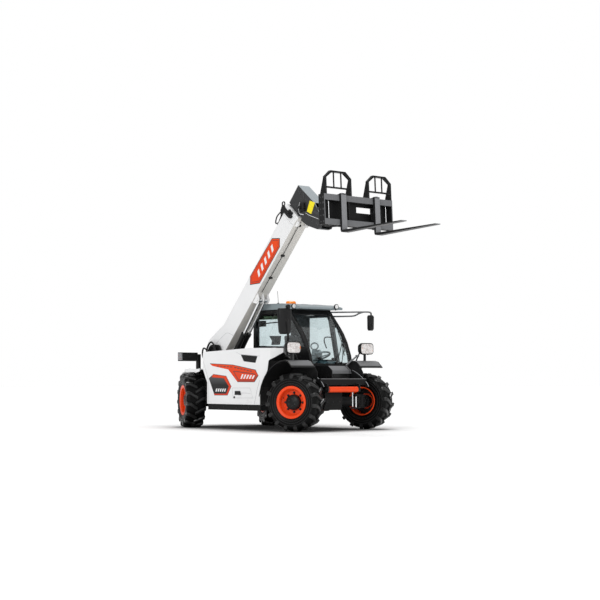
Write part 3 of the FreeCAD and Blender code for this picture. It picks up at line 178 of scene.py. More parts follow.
def road_dust():
    """Dust that settles low down and on faces that look up."""
    fx = Effect("road_dust", [("Amount", 0.3), ("Top", 1.2)], ["Mask"])
    place = fx.place()
    height = fx.node("ShaderNodeSeparateXYZ", {0: place}).outputs["Z"]
    low = fx.node("ShaderNodeMapRange", {"Value": height, "From Min": 0.0, "From Max": fx.into["Top"],
                                         "To Min": 1.0, "To Max": 0.0})
    face = fx.node("ShaderNodeNewGeometry")
    facing = fx.node("ShaderNodeSeparateXYZ", {0: face.outputs["Normal"]})
    flat = fx.node("ShaderNodeMapRange", {"Value": facing.outputs["Z"], "From Min": 0.3, "From Max": 1.0,
                                          "To Min": 0.0, "To Max": 0.6})
    both = fx.sum("ADD", low.outputs["Result"], flat.outputs["Result"])
    patch = fx.node("ShaderNodeTexNoise", {"Vector": place, "Scale": 9.0, "Detail": 8.0, "Roughness": 0.65})
    spread = fx.node("ShaderNodeMapRange", {"Value": patch.outputs["Fac"], "From Min": 0.35, "From Max": 0.75})
    mixed = fx.sum("MULTIPLY", both, spread.outputs["Result"])
    fx.give("Mask", fx.sum("MULTIPLY", mixed, fx.into["Amount"], clamp=True))
    return fx.tree


def moulded_grain():
    """The pebbled grain of moulded plastic and rubber."""
    fx = Effect("moulded_grain", [("Scale", 700.0)], ["Height"])
    cells = fx.node("ShaderNodeTexVoronoi", {"Vector": fx.place(), "Scale": fx.into["Scale"]}, feature="SMOOTH_F1")
    fx.give("Height", cells.outputs["Distance"])
    return fx.tree


def cloth_weave():
    """Crossed threads of seat cloth."""
    fx = Effect("cloth_weave", [("Threads", 900.0)], ["Height", "Thread"])
    place = fx.place()
    bands = [fx.node("ShaderNodeTexWave", {"Vector": place, "Scale": fx.into["Threads"], "Distortion": 0.6},
                     bands_direction=way).outputs["Fac"] for way in ("X", "Y")]
    fx.give("Height", fx.sum("MULTIPLY", *bands))
    fx.give("Thread", bands[0])
    return fx.tree


def rod_polish():
    """Fine turning marks and a faint oil film on hard chrome."""
    fx = Effect("rod_polish", [("Scale", 60.0)], ["Roughness"])
    film = fx.node("ShaderNodeTexNoise", {"Vector": fx.place(), "Scale": fx.into["Scale"], "Detail": 6.0})
    rough = fx.node("ShaderNodeMapRange", {"Value": film.outputs["Fac"], "To Min": 0.04, "To Max": 0.22})
    fx.give("Roughness", rough.outputs["Result"])
    return fx.tree


def way_inputs(fx):
    return fx.node("ShaderNodeCombineXYZ", {axis: fx.into[axis] for axis in "XYZ"}).outputs[0]


def facing():
    """One where the surface looks along a direction, given in the machine's frame."""
    fx = Effect("facing", [("X", 1.0), ("Y", 0.0), ("Z", 0.0), ("From", 0.5)], ["Mask"])
    normal = fx.node("ShaderNodeTexCoord").outputs["Normal"]
    along = fx.node("ShaderNodeVectorMath", {0: normal, 1: way_inputs(fx)}, operation="DOT_PRODUCT")
    fx.give("Mask", fx.sum("GREATER_THAN", along.outputs["Value"], fx.into["From"]))
    return fx.tree


def beyond():
    """One past a plane across a direction, at a distance from the frame's origin, with a soft edge."""
    fx = Effect("beyond", [("X", 1.0), ("Y", 0.0), ("Z", 0.0), ("At", 0.0), ("Soft", 0.001)], ["Mask"])
    along = fx.node("ShaderNodeVectorMath", {0: fx.place(), 1: way_inputs(fx)}, operation="DOT_PRODUCT")
    past = fx.sum("SUBTRACT", along.outputs["Value"], fx.into["At"])
    fx.give("Mask", fx.sum("DIVIDE", past, fx.into["Soft"], clamp=True))
    return fx.tree


EFFECTS = {make.__name__: make() for make in (
    edge_wear, paint_skin, road_dust, moulded_grain, cloth_weave, rod_polish, facing, beyond)}


# Finishes
class Finish:
    """A material being wired round its own Principled shader."""

    def __init__(self, name):
        self.material = bpy.data.materials.new(name)
        self.material.use_nodes = True
        self.tree = self.material.node_tree
        self.shader = self.tree.nodes["Principled BSDF"]

    def node(self, kind, wires=None, **settings):
        return add_node(self.tree, kind, wires, **settings)

    def effect(self, name, **values):
        group = self.node("ShaderNodeGroup", None, node_tree=EFFECTS[name])
        for label, value in values.items():
            group.inputs[label.replace("_", " ")].default_value = value
        return group.outputs

    def looking(self, way, start=0.5):
        """The mask of what faces one way."""
        return self.effect("facing", X=way[0], Y=way[1], Z=way[2], From=start)["Mask"]

    def past(self, way, at, soft=0.001):
        """The mask of what lies past a plane."""
        return self.effect("beyond", X=way[0], Y=way[1], Z=way[2], At=at, Soft=soft)["Mask"]

    def either(self, first, second):
        return self.node("ShaderNodeMath", {0: first, 1: second}, operation="MAXIMUM").outputs[0]

    def set(self, **values):
        for label, value in values.items():
            self.shader.inputs[label.replace("_", " ")].default_value = value

    def wire(self, label, socket):
        self.tree.links.new(socket, self.shader.inputs[label])

    def blend(self, mask, below, above):
        """A colour that goes from one to another with a mask; each is a colour or a socket."""
        return self.node("ShaderNodeMix", {0: mask, 6: below, 7: above}, data_type="RGBA").outputs[2]

    def steps(self, value, low, high):
        """A value from 0 to 1 stretched between two numbers."""
        return self.node("ShaderNodeMapRange", {"Value": value, "To Min": low, "To Max": high}).outputs["Result"]

    def bump(self, height, strength, distance, rounding=0.003):
        """A fine relief on a surface whose edges look slightly rounded."""
        edges = self.node("ShaderNodeBevel", {"Radius": rounding}, samples=4)
        bump = self.node("ShaderNodeBump", {"Height": height, "Strength": strength, "Distance": distance,
                                            "Normal": edges.outputs[0]})
        self.wire("Normal", bump.outputs["Normal"])


def rgb(red, green, blue):
    return (red, green, blue, 1.0)


def grey(level):
    return rgb(level, level * 1.02, level * 1.06)


def shade(colour, factor):
    return (colour[0] * factor, colour[1] * factor, colour[2] * factor, 1.0)


DUST = rgb(0.42, 0.38, 0.33)
BARE_STEEL = rgb(0.50, 0.50, 0.51)
AHEAD = Vector((1, 0, 0))
DOWN = Vector((0, 0, -1))
INBOARD_OF_HOOD = Vector((0, 1, 0))
TOOL_AHEAD = TOOL.to_3x3() @ AHEAD
BOOM_UNDER = BOOM.to_3x3() @ DOWN


def painted(name, colour, rough, coat, wear, dust, bare=BARE_STEEL, zones=None, sheen=0.5):
    """Sprayed paint on steel: tone drift, orange peel, edges rubbed to a lighter metal, dust low down."""
    finish = Finish(name)
    skin = finish.effect("paint_skin")
    tone = finish.blend(skin["Drift"], shade(colour, 0.93), shade(colour, 1.05))
    if zones:
        tone = zones(finish, tone)
    edges = finish.effect("edge_wear", Cover=wear)
    rubbed = finish.blend(edges["Mask"], tone, bare)
    dusty = finish.effect("road_dust", Amount=dust)
    finish.wire("Base Color", finish.blend(dusty["Mask"], rubbed, DUST))
    finish.wire("Roughness", finish.steps(skin["Drift"], rough * 0.8, rough * 1.25))
    finish.set(Coat_Weight=coat, Coat_Roughness=0.08, Specular_IOR_Level=sheen)
    finish.bump(skin["Height"], 0.08, 0.0006)
    return finish.material


def dark(name, level, rough, zones=None, sheen=0.16):
    """Satin black paint that keeps its depth under a white sky."""
    return painted(name, grey(level), rough, 0.0, 0.4, 0.015, grey(0.16), zones, sheen)


def moulded(name, colour, rough, scale, depth, dust, sheen=0.5):
    """Moulded plastic or rubber with a pebbled grain."""
    finish = Finish(name)
    grain = finish.effect("moulded_grain", Scale=scale)
    skin = finish.effect("paint_skin")
    tone = finish.blend(skin["Drift"], shade(colour, 0.85), shade(colour, 1.2))
    dusty = finish.effect("road_dust", Amount=dust)
    finish.wire("Base Color", finish.blend(dusty["Mask"], tone, DUST))
    finish.wire("Roughness", finish.steps(skin["Drift"], rough * 0.85, min(rough * 1.15, 1.0)))
    finish.set(Specular_IOR_Level=sheen)
    finish.bump(grain["Height"], depth, 0.001)
    return finish.material


def chrome(name, colour):
    finish = Finish(name)
    polish = finish.effect("rod_polish")
    finish.set(Base_Color=colour, Metallic=1.0)
    finish.wire("Roughness", polish["Roughness"])
    return finish.material


def see_through(name, colour, rough):
    """Clear or tinted glass that lets lamps light what stands behind it."""
    finish = Finish(name)
    finish.set(Base_Color=colour, Roughness=rough, Transmission_Weight=1.0, IOR=1.45)
    path = finish.node("ShaderNodeLightPath")
    open_share = finish.node("ShaderNodeMath", {0: path.outputs["Is Shadow Ray"], 1: -0.9}, operation="MULTIPLY")
    solid = finish.node("ShaderNodeMath", {0: open_share.outputs[0], 1: 1.0}, operation="ADD")
    finish.wire("Alpha", solid.outputs[0])
    return finish.material


def cloth(name, colour):
    finish = Finish(name)
    weave = finish.effect("cloth_weave")
    finish.wire("Base Color", finish.blend(weave["Thread"], shade(colour, 0.7), shade(colour, 1.25)))
    finish.set(Roughness=0.9, Sheen_Weight=0.3, Sheen_Roughness=0.5)
    finish.bump(weave["Height"], 0.4, 0.0006)
    return finish.material


def glowing(name, colour, strength):
    """A lamp's inner surface that reads bright without lighting the scene."""
    finish = Finish(name)
    skin = finish.effect("paint_skin")
    finish.wire("Base Color", finish.blend(skin["Drift"], shade(colour, 0.9), colour))
    finish.set(Roughness=0.2, Emission_Color=colour, Emission_Strength=strength)
    return finish.material


def lens(name, light, dark, cells):
    """A lamp's fluted lens over its bowl: bright facets between darker seams under a clear coat."""
    finish = Finish(name)
    place = finish.node("ShaderNodeTexCoord").outputs["Object"]
    flutes = finish.node("ShaderNodeTexVoronoi", {"Vector": place, "Scale": cells}, feature="F1")
    tone = finish.blend(finish.steps(flutes.outputs["Distance"], 0.0, 0.9), light, dark)
    finish.wire("Base Color", tone)
    finish.set(Roughness=0.12, Coat_Weight=1.0, Coat_Roughness=0.02)
    finish.bump(flutes.outputs["Distance"], 0.3, 0.004)
    return finish.material


def fading(name, top, bottom, low, high, rough=0.3):
    """A panel whose colour fades from its lower to its upper edge: printed, except on the hood badge's black panel,
    whose lighter top is a painted highlight.
    """
    finish = Finish(name)
    skin = finish.effect("paint_skin")
    rise = finish.past(-DOWN, low, high - low)
    finish.wire("Base Color", finish.blend(rise, bottom, top))
    finish.wire("Roughness", finish.steps(skin["Drift"], rough * 0.8, rough * 1.2))
    finish.set(Coat_Weight=0.15, Coat_Roughness=0.06, Specular_IOR_Level=0.25)
    finish.bump(skin["Height"], 0.04, 0.0004)
    return finish.material


WHITE = rgb(0.82, 0.825, 0.83)
ORANGE = rgb(0.86, 0.062, 0.006)
BLACK = grey(0.012)
MOUTH_ALONG = 2.75


def hood_zones(finish, tone):
    """Faces that look inboard or down, and faces that look ahead along the wheel arch below the hood's top and off
    its outer side, are black.
    """
    inner = finish.either(finish.looking(INBOARD_OF_HOOD, 0.3), finish.looking(DOWN, 0.3))
    outer = finish.either(finish.looking(-INBOARD_OF_HOOD, 0.1), finish.past(-DOWN, 1.15))
    arch = finish.node("ShaderNodeMath", {0: finish.looking(AHEAD, 0.3), 1: outer}, operation="SUBTRACT",
                       use_clamp=True).outputs[0]
    return finish.blend(finish.either(inner, arch), tone, BLACK)


def boom_underside_painted_shade(finish, tone):
    """Painted shade: the boom's downward faces are painted a darker, warmer grey than its sides."""
    return finish.blend(finish.looking(BOOM_UNDER, 0.7), tone, rgb(0.64, 0.62, 0.58))


def head_zones(finish, tone):
    """The sliding tube is white up to the head, whose front is a pale plate."""
    pivot = BOOM.translation.dot(BOOM_WAY)
    tone = finish.blend(finish.looking(BOOM_WAY, 0.9), tone, rgb(0.34, 0.38, 0.40))
    return finish.blend(finish.past(BOOM_WAY, pivot + MOUTH_ALONG), WHITE, tone)


def carriage_zones(finish, tone):
    """Bars and shanks are grey in front and black all round."""
    front = finish.past(TOOL_AHEAD, TOOL.translation.dot(TOOL_AHEAD) + 0.60)
    tone = finish.blend(finish.looking(TOOL_AHEAD, 0.8), BLACK, tone)
    return finish.blend(front, BLACK, tone)


FINISHES = {
    "white_paint": painted("white_paint", WHITE, 0.30, 0.6, 0.2, 0.06, rgb(0.66, 0.66, 0.66)),
    "hood_paint": painted("hood_paint", WHITE, 0.28, 0.7, 0.2, 0.05, rgb(0.66, 0.66, 0.66), hood_zones),
    # The boom's underside carries painted shade, a darker grey on its downward faces.
    "boom_paint": painted("boom_paint", WHITE, 0.30, 0.6, 0.2, 0.05, rgb(0.66, 0.66, 0.66), boom_underside_painted_shade),
    "black_paint": dark("black_paint", 0.010, 0.34),
    "frame_grey": dark("frame_grey", 0.010, 0.40, None, 0.1),
    "head_paint": dark("head_paint", 0.034, 0.36, head_zones, 0.3),
    "pillar_grey": dark("pillar_grey", 0.011, 0.24, None, 0.30),
    "orange_paint": painted("orange_paint", ORANGE, 0.36, 0.08, 0.2, 0.01, shade(ORANGE, 0.8), None, 0.22),
    "carriage_grey": dark("carriage_grey", 0.17, 0.42, carriage_zones),
    "carriage_light": dark("carriage_light", 0.17, 0.34, None, 0.4),
    "fork_steel": dark("fork_steel", 0.25, 0.38, carriage_zones),
    "cast_grey": dark("cast_grey", 0.014, 0.5),
    "chrome_rod": chrome("chrome_rod", rgb(0.82, 0.83, 0.84)),
    "tyre_rubber": moulded("tyre_rubber", grey(0.0085), 0.30, 500.0, 0.08, 0.01, 0.42),
    # The carcass rubber is painted darker than the tread's: painted shade for the grooves between the lugs.
    "tyre_groove_shade": moulded("tyre_groove_shade", grey(0.0028), 0.42, 500.0, 0.08, 0.005, 0.10),
    "hose_rubber": moulded("hose_rubber", grey(0.008), 0.45, 900.0, 0.1, 0.02, 0.25),
    "black_plastic": moulded("black_plastic", grey(0.010), 0.40, 800.0, 0.12, 0.02, 0.2),
    # A light grey laid over the black fender tops: a painted highlight.
    "fender_painted_highlight": moulded("fender_painted_highlight", grey(0.15), 0.30, 700.0, 0.06, 0.04, 0.5),
    "dash_plastic": moulded("dash_plastic", rgb(0.035, 0.075, 0.09), 0.5, 800.0, 0.15, 0.0, 0.3),
    "grip_grey": moulded("grip_grey", rgb(0.22, 0.25, 0.26), 0.45, 800.0, 0.1, 0.0),
    "arm_grey": moulded("arm_grey", rgb(0.10, 0.105, 0.11), 0.3, 800.0, 0.05, 0.0, 0.6),
    # The roof plastic is dark grey, painted paler and bluer here as a painted reflection of the sky on its front
    # faces.
    "roof_plastic": moulded("roof_plastic", rgb(0.25, 0.295, 0.315), 0.24, 700.0, 0.05, 0.03, 0.5),
    "cab_glass_tint": see_through("cab_glass_tint", rgb(0.80, 0.865, 0.875), 0.0),
    "dark_tint": see_through("dark_tint", rgb(0.055, 0.085, 0.05), 0.05),
    "lamp_plastic": moulded("lamp_plastic", grey(0.009), 0.30, 800.0, 0.06, 0.0, 0.25),
    "head_lens": lens("head_lens", rgb(0.95, 0.94, 0.93), rgb(0.42, 0.36, 0.34), 42.0),
    "work_lens": lens("work_lens", rgb(0.97, 0.97, 0.97), rgb(0.62, 0.62, 0.63), 60.0),
    "red_lens": lens("red_lens", rgb(0.55, 0.01, 0.01), rgb(0.25, 0.01, 0.01), 90.0),
    "amber_lens": lens("amber_lens", rgb(0.85, 0.22, 0.01), rgb(0.5, 0.1, 0.01), 90.0),
    "amber_plastic": glowing("amber_plastic", rgb(0.95, 0.24, 0.01), 0.25),
    "seat_cloth": cloth("seat_cloth", rgb(0.11, 0.13, 0.14)),
    "headrest_cloth": cloth("headrest_cloth", rgb(0.02, 0.021, 0.022)),
    "print_orange": fading("print_orange", rgb(0.80, 0.060, 0.003), rgb(0.60, 0.028, 0.002), 0.5, 1.0),
    "print_black": fading("print_black", grey(0.05), grey(0.008), 0.5, 0.8),
    # The hood badge's black panel is painted lighter towards its top: a painted highlight.
    "badge_black_painted_highlight": fading("badge_black_painted_highlight", grey(0.075), grey(0.006), 0.66, 0.775),
    "boom_orange": fading("boom_orange", rgb(0.80, 0.062, 0.003), rgb(0.72, 0.045, 0.002), 2.1, 2.9),
    "print_yellow": fading("print_yellow", rgb(0.92, 0.78, 0.02), rgb(0.88, 0.72, 0.02), 2.8, 3.4),
    "seam_grey": fading("seam_grey", grey(0.45), grey(0.40), 0.0, 3.0),
    "mirror_glass": chrome("mirror_glass", rgb(0.7, 0.72, 0.74)),
}

NODE_SLOTS = {row["node"]: row["material_slot"] for row in frame["record"]["subparts"]}
OWN_FINISHES = {
    "engine_hood": "hood_paint", "outer_boom": "boom_paint", "inner_boom_head": "head_paint",
    "cab_frame": "pillar_grey", "cab_door": "pillar_grey",
}


def dress_node(name, slot):
    """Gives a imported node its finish, with its own mesh untouched."""
    node = frame["nodes"][name]
    node.data.materials.clear()
    node.data.materials.append(FINISHES[OWN_FINISHES.get(name, slot)])


for node_name, slot_name in NODE_SLOTS.items():
    dress_node(node_name, slot_name)


# Shapes: solids gathered in one mesh, in the frame of what carries them
class Shape:
    def __init__(self, place=MACHINE):
        self.place = place
        self.form = bmesh.new()

    def skin(self, rings, capped=True, looped=False):
        """Skins a run of equal rings of points."""
        rows = [[self.form.verts.new(self.place @ Vector(point)) for point in ring] for ring in rings]
        count = len(rows[0])
        pairs = list(zip(rows, rows[1:])) + ([(rows[-1], rows[0])] if looped else [])
        for near, far in pairs:
            for k in range(count):
                after = (k + 1) % count
                self.form.faces.new((near[k], near[after], far[after], far[k]))
        if capped and not looped:
            self.form.faces.new(rows[0][::-1])
            self.form.faces.new(rows[-1])
        return self

    def plate(self, outline, low, high, plane="XZ"):
        """An outline padded along the third axis."""
        if plane == "XZ":
            rings = [[(a, depth, b) for a, b in outline] for depth in (low, high)]
        elif plane == "YZ":
            rings = [[(depth, a, b) for a, b in outline] for depth in (low, high)]
        else:
            rings = [[(a, b, depth) for a, b in outline] for depth in (low, high)]
        return self.skin(rings)

    def bar(self, x, y, z):
        return self.plate([(x[0], z[0]), (x[1], z[0]), (x[1], z[1]), (x[0], z[1])], *y)

    def turned(self, centre, way, profile, steps=24, looped=False):
        """A profile of (along, radius) turned about a line through centre."""
        turn = Vector((0, 0, 1)).rotation_difference(Vector(way)).to_matrix()
        rings = []
        for along, radius in profile:
            ring = []
            for k in range(steps):
                angle = 2 * math.pi * k / steps
                ring.append(Vector(centre) + turn @ Vector((radius * math.cos(angle),
                                                            radius * math.sin(angle), along)))
            rings.append(ring)
        return self.skin(rings, looped=looped)

    def tube(self, points, radius, steps=10, smooth=True, looped=False):
        """A round bar along a line of points, rounded off at its corners."""
        line = smooth_line(points, looped) if smooth else [Vector(point) for point in points]
        side = None
        rings = []
        for k, point in enumerate(line):
            ahead = line[(k + 1) % len(line)] if (looped or k + 1 < len(line)) else point
            behind = line[k - 1] if (looped or k > 0) else point
            way = (ahead - behind).normalized()
            if side is None:
                side = way.orthogonal()
            side = (side - way * side.dot(way)).normalized()
            up = way.cross(side)
            rings.append([point + side * radius * math.cos(2 * math.pi * j / steps)
                          + up * radius * math.sin(2 * math.pi * j / steps) for j in range(steps)])
        return self.skin(rings, looped=looped)

    def bolt(self, centre, way, size):
        """A hexagon head on its washer."""
        self.turned(centre, way, [(0, size * 1.25), (size * 0.25, size * 1.25)], 14)
        return self.turned(centre, way, [(size * 0.25, size), (size * 0.8, size), (size * 0.95, size * 0.8)], 6)


def smooth_line(points, looped=False):
    """Points along a curve through the given ones."""
    places = [Vector(point) for point in points]
    if len(places) < 3:
        return places
    count = len(places)
    spans = count if looped else count - 1
    line = []
    for k in range(spans):
        if looped:
            before, start, end, after = (places[(k + j) % count] for j in (-1, 0, 1, 2))
        else:
            start, end = places[k], places[k + 1]
            before = places[k - 1] if k else start * 2 - end
            after = places[k + 2] if k + 2 < count else end * 2 - start
        for step in range(6):
            t = step / 6
            line.append(0.5 * (2 * start + (end - before) * t + (2 * before - 5 * start + 4 * end - after) * t * t
                               + (3 * start - before - 3 * end + after) * t * t * t))
    if not looped:
        line.append(places[-1])
    return line


def inset(outline, by):
    """A convex outline drawn in by a margin."""
    count = len(outline)
    middle = Vector((sum(p[0] for p in outline) / count, sum(p[1] for p in outline) / count))
    lines = []
    for k in range(count):
        start, end = Vector(outline[k]), Vector(outline[(k + 1) % count])
        normal = Vector((end.y - start.y, start.x - end.x)).normalized()
        if normal.dot(middle - start) < 0:
            normal = -normal
        lines.append((start + normal * by, end - start))
    corners = []
    for k in range(count):
        (p, d), (q, e) = lines[k - 1], lines[k]
        cross = d.x * e.y - d.y * e.x
        share = ((q.x - p.x) * e.y - (q.y - p.y) * e.x) / cross
        corners.append(tuple(p + d * share))
    return corners


def rounded(low, high, radius, steps=5):
    """A rectangle with rounded corners between two corners."""
    outline = []
    for cx, cz, start in ((high[0] - radius, high[1] - radius, 0), (low[0] + radius, high[1] - radius, 90),
                          (low[0] + radius, low[1] + radius, 180), (high[0] - radius, low[1] + radius, 270)):
        for k in range(steps + 1):
            angle = math.radians(start + 90 * k / steps)
            outline.append((cx + radius * math.cos(angle), cz + radius * math.sin(angle)))
    return outline


def piece(name, shape, finish, body, bevel=0.0015, sharp=35):
    """Makes one piece of a gathered shape, with softened edges, and lets it ride on its body."""
    bmesh.ops.recalc_face_normals(shape.form, faces=shape.form.faces)
    mesh = bpy.data.meshes.new(name)
    shape.form.to_mesh(mesh)
    shape.form.free()
    thing = bpy.data.objects.new(name, mesh)
    bpy.context.scene.collection.objects.link(thing)
    mesh.materials.append(FINISHES[finish])
    mesh.shade_smooth()
    mesh.set_sharp_from_angle(angle=math.radians(sharp))
    if bevel:
        soften = thing.modifiers.new("soft_edges", "BEVEL")
        soften.width = bevel
        soften.segments = 2
        soften.limit_method = "ANGLE"
        soften.angle_limit = math.radians(sharp)
        soften.harden_normals = True
    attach(thing, body)
    return thing


# Wheels
TYRE_RADIUS = 0.4185
LUG_COUNT = 15
CARCASS = [  # across, radius from the outboard bead over the crown's middle
    (0.119, 0.214), (0.128, 0.238), (0.1415, 0.256), (0.1445, 0.272), (0.1485, 0.278), (0.1515, 0.312),
    (0.1505, 0.345), (0.146, 0.366), (0.131, 0.383), (0.09, 0.3905), (0.045, 0.3925), (0.0, 0.393),
]
LUG_RUN = [  # across, angle ahead, half the width round the tyre, top and root radius
    (-0.016, 0.210, 0.021, TYRE_RADIUS, 0.388), (0.020, 0.165, 0.023, TYRE_RADIUS, 0.388),
    (0.060, 0.095, 0.023, TYRE_RADIUS, 0.388), (0.092, 0.045, 0.023, TYRE_RADIUS - 0.0005, 0.384),
    (0.122, 0.030, 0.024, TYRE_RADIUS - 0.002, 0.376), (0.1465, 0.022, 0.026, TYRE_RADIUS - 0.009, 0.360),
    (0.1535, 0.020, 0.026, TYRE_RADIUS - 0.024, 0.350), (0.1535, 0.018, 0.020, 0.366, 0.346),
    (0.1505, 0.017, 0.014, 0.346, 0.340),
]


def make_tyre(corner):
    """A carcass with rings on its walls, and two rows of lugs that meet in a V whose point leads. The carcass is
    the same rubber painted darker than the lugs and rings, as painted shade in the grooves between them.
    """
    shape, lugs = Shape(wheel_frame(corner)), Shape(wheel_frame(corner))
    wall = CARCASS + [(-across, radius) for across, radius in CARCASS[-2::-1]]
    shape.turned((0, 0, 0), (0, 1, 0), wall + [(-0.119, 0.206), (0.119, 0.206)], 72, looped=True)
    for side in (1, -1):
        for radius, proud in ((0.252, 0.141), (0.268, 0.147), (0.300, 0.1535), (0.334, 0.1535)):
            ring = [((proud - 0.006) * side, radius - 0.005), (proud * side, radius - 0.0025),
                    (proud * side, radius + 0.0025), ((proud - 0.006) * side, radius + 0.005)]
            lugs.turned((0, 0, 0), (0, 1, 0), ring, 72, looped=True)
    for side in (1, -1):
        for number in range(LUG_COUNT):
            start = 2 * math.pi * (number + (0.5 if side < 0 else 0.0)) / LUG_COUNT
            rings = []
            for across, lead, half, top, root in LUG_RUN:
                ring = []
                for spread, radius in ((1.22, root), (1.0, top - 0.004), (0.8, top), (-0.8, top),
                                       (-1.0, top - 0.004),
                                       (-1.22, root)):
                    angle = start + lead + spread * half / 0.40
                    ring.append((radius * math.sin(angle), across * side, radius * math.cos(angle)))
                rings.append(ring)
            lugs.skin(rings)
    for name, part, finish in (("tyre_carcass_", shape, "tyre_groove_shade"), ("tyre_tread_", lugs, "tyre_rubber")):
        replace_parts(piece(name + corner, part, finish, "wheel_" + corner, bevel=0, sharp=48), "tyre_" + corner)


def make_wheel_trim(corner):
    """Hub cap, studs with nuts, the rim's inner steps and the valve."""
    place = wheel_frame(corner)
    body = "wheel_" + corner
    cap = Shape(place)
    cap.turned((0, 0, 0), (0, 1, 0), [(0.037, 0.113), (0.044, 0.1135), (0.050, 0.1095), (0.090, 0.1090),
                                      (0.101, 0.101),
                                      (0.1085, 0.086), (0.1125, 0.070), (0.1135, 0.068), (0.1135,
                                                                                          0.030), (0.1145, 0.028),
                                      (0.1145, 0.002)], 48)
    for k in range(6):
        angle = 2 * math.pi * (k + 0.5) / 6
        cap.bolt((0.052 * math.cos(angle), 0.1133, 0.052 * math.sin(angle)), (0, 1, 0), 0.006)
    piece("hub_cap_" + corner, cap, "black_paint", body, 0.001)
    nuts = Shape(place)
    for k in range(8):
        angle = 2 * math.pi * k / 8
        spot = (0.137 * math.cos(angle), 0.038, 0.137 * math.sin(angle))
        nuts.turned(spot, (0, 1, 0), [(0, 0.018), (0.004, 0.018), (0.009, 0.014)], 16)
        nuts.turned(spot, (0, 1, 0), [(0.008, 0.0135), (0.024, 0.0135), (0.027, 0.010)], 6)
        nuts.turned(spot, (0, 1, 0), [(0.026, 0.007), (0.034, 0.007), (0.036, 0.005)], 10)
    piece("wheel_nuts_" + corner, nuts, "black_paint", body, 0)
    drum = Shape(place)
    drum.turned((0, 0, 0), (0, 1, 0), [(0.030, 0.112), (0.014, 0.116), (0.010, 0.180), (0.016, 0.189),
                                       (0.030, 0.190)],
                40, looped=True)
    piece("rim_back_" + corner, drum, "cast_grey", body, 0.001)
    steps = Shape(place)
    for ring in ([(0.118, 0.198), (0.118, 0.1925), (0.106, 0.190), (0.100, 0.198)],
                 [(0.075, 0.198), (0.075, 0.190), (0.068, 0.186), (0.062, 0.198)]):
        steps.turned((0, 0, 0), (0, 1, 0), ring, 64, looped=True)
    piece("rim_steps_" + corner, steps, "orange_paint", body, 0.0008)
    valve = Shape(place)
    valve.tube([(-0.165, 0.050, 0.060), (-0.162, 0.075, 0.059), (-0.155, 0.098, 0.056)], 0.0045, 8)
    piece("valve_" + corner, valve, "hose_rubber", body, 0)


for corner in CORNERS:
    make_tyre(corner)
    make_wheel_trim(corner)


# Hood: printed stripes, panels, louvres, latch and seams, all on its outer face
HOOD_FACE = -0.880
PRINT = 0.0009
STRIPE = [
    (-1.775, 0.980), (-1.217, 0.957), (-0.700, 0.880), (-0.632, 0.812), (-0.722, 0.716), (-1.121, 0.716),
    (-1.330, 0.893), (-1.729, 0.950),
]
STRIPE_PANEL = [(-1.205, 0.868), (-0.725, 0.828), (-0.668, 0.800), (-0.735, 0.735), (-1.085, 0.735)]
HOOD_BADGE = [(-1.695, 0.819), (-1.385, 0.792), (-1.263, 0.639), (-1.352, 0.511), (-1.664, 0.508), (-1.800, 0.758)]
BADGE_PANEL = [(-1.800, 0.758), (-1.752, 0.778), (-1.440, 0.762), (-1.318, 0.640), (-1.378, 0.530), (-1.672, 0.528)]
RECESS = [(-1.239, 0.617), (-0.814, 0.619), (-0.744, 0.473), (-1.215, 0.468)]


def hood_print(name, outline, finish, layer):
    """A thin printed panel on the hood's side; each layer lies on the one before."""
    face = HOOD_FACE - PRINT * (layer - 1)
    piece(name, Shape().plate(outline, face - PRINT, face), finish, "hood", 0)


def dashes(start, end, count, low, high, fill=0.62):
    """Slanted strokes in a row between two points, between two depths below it."""
    strokes = []
    for k in range(count):
        near = Vector(start).lerp(Vector(end), k / count)
        far = Vector(start).lerp(Vector(end), (k + fill) / count)
        strokes.append([(near.x, near.y - low), (far.x, far.y - low), (far.x - 0.008, far.y - high),
                        (near.x - 0.008, near.y - high)])
    return strokes


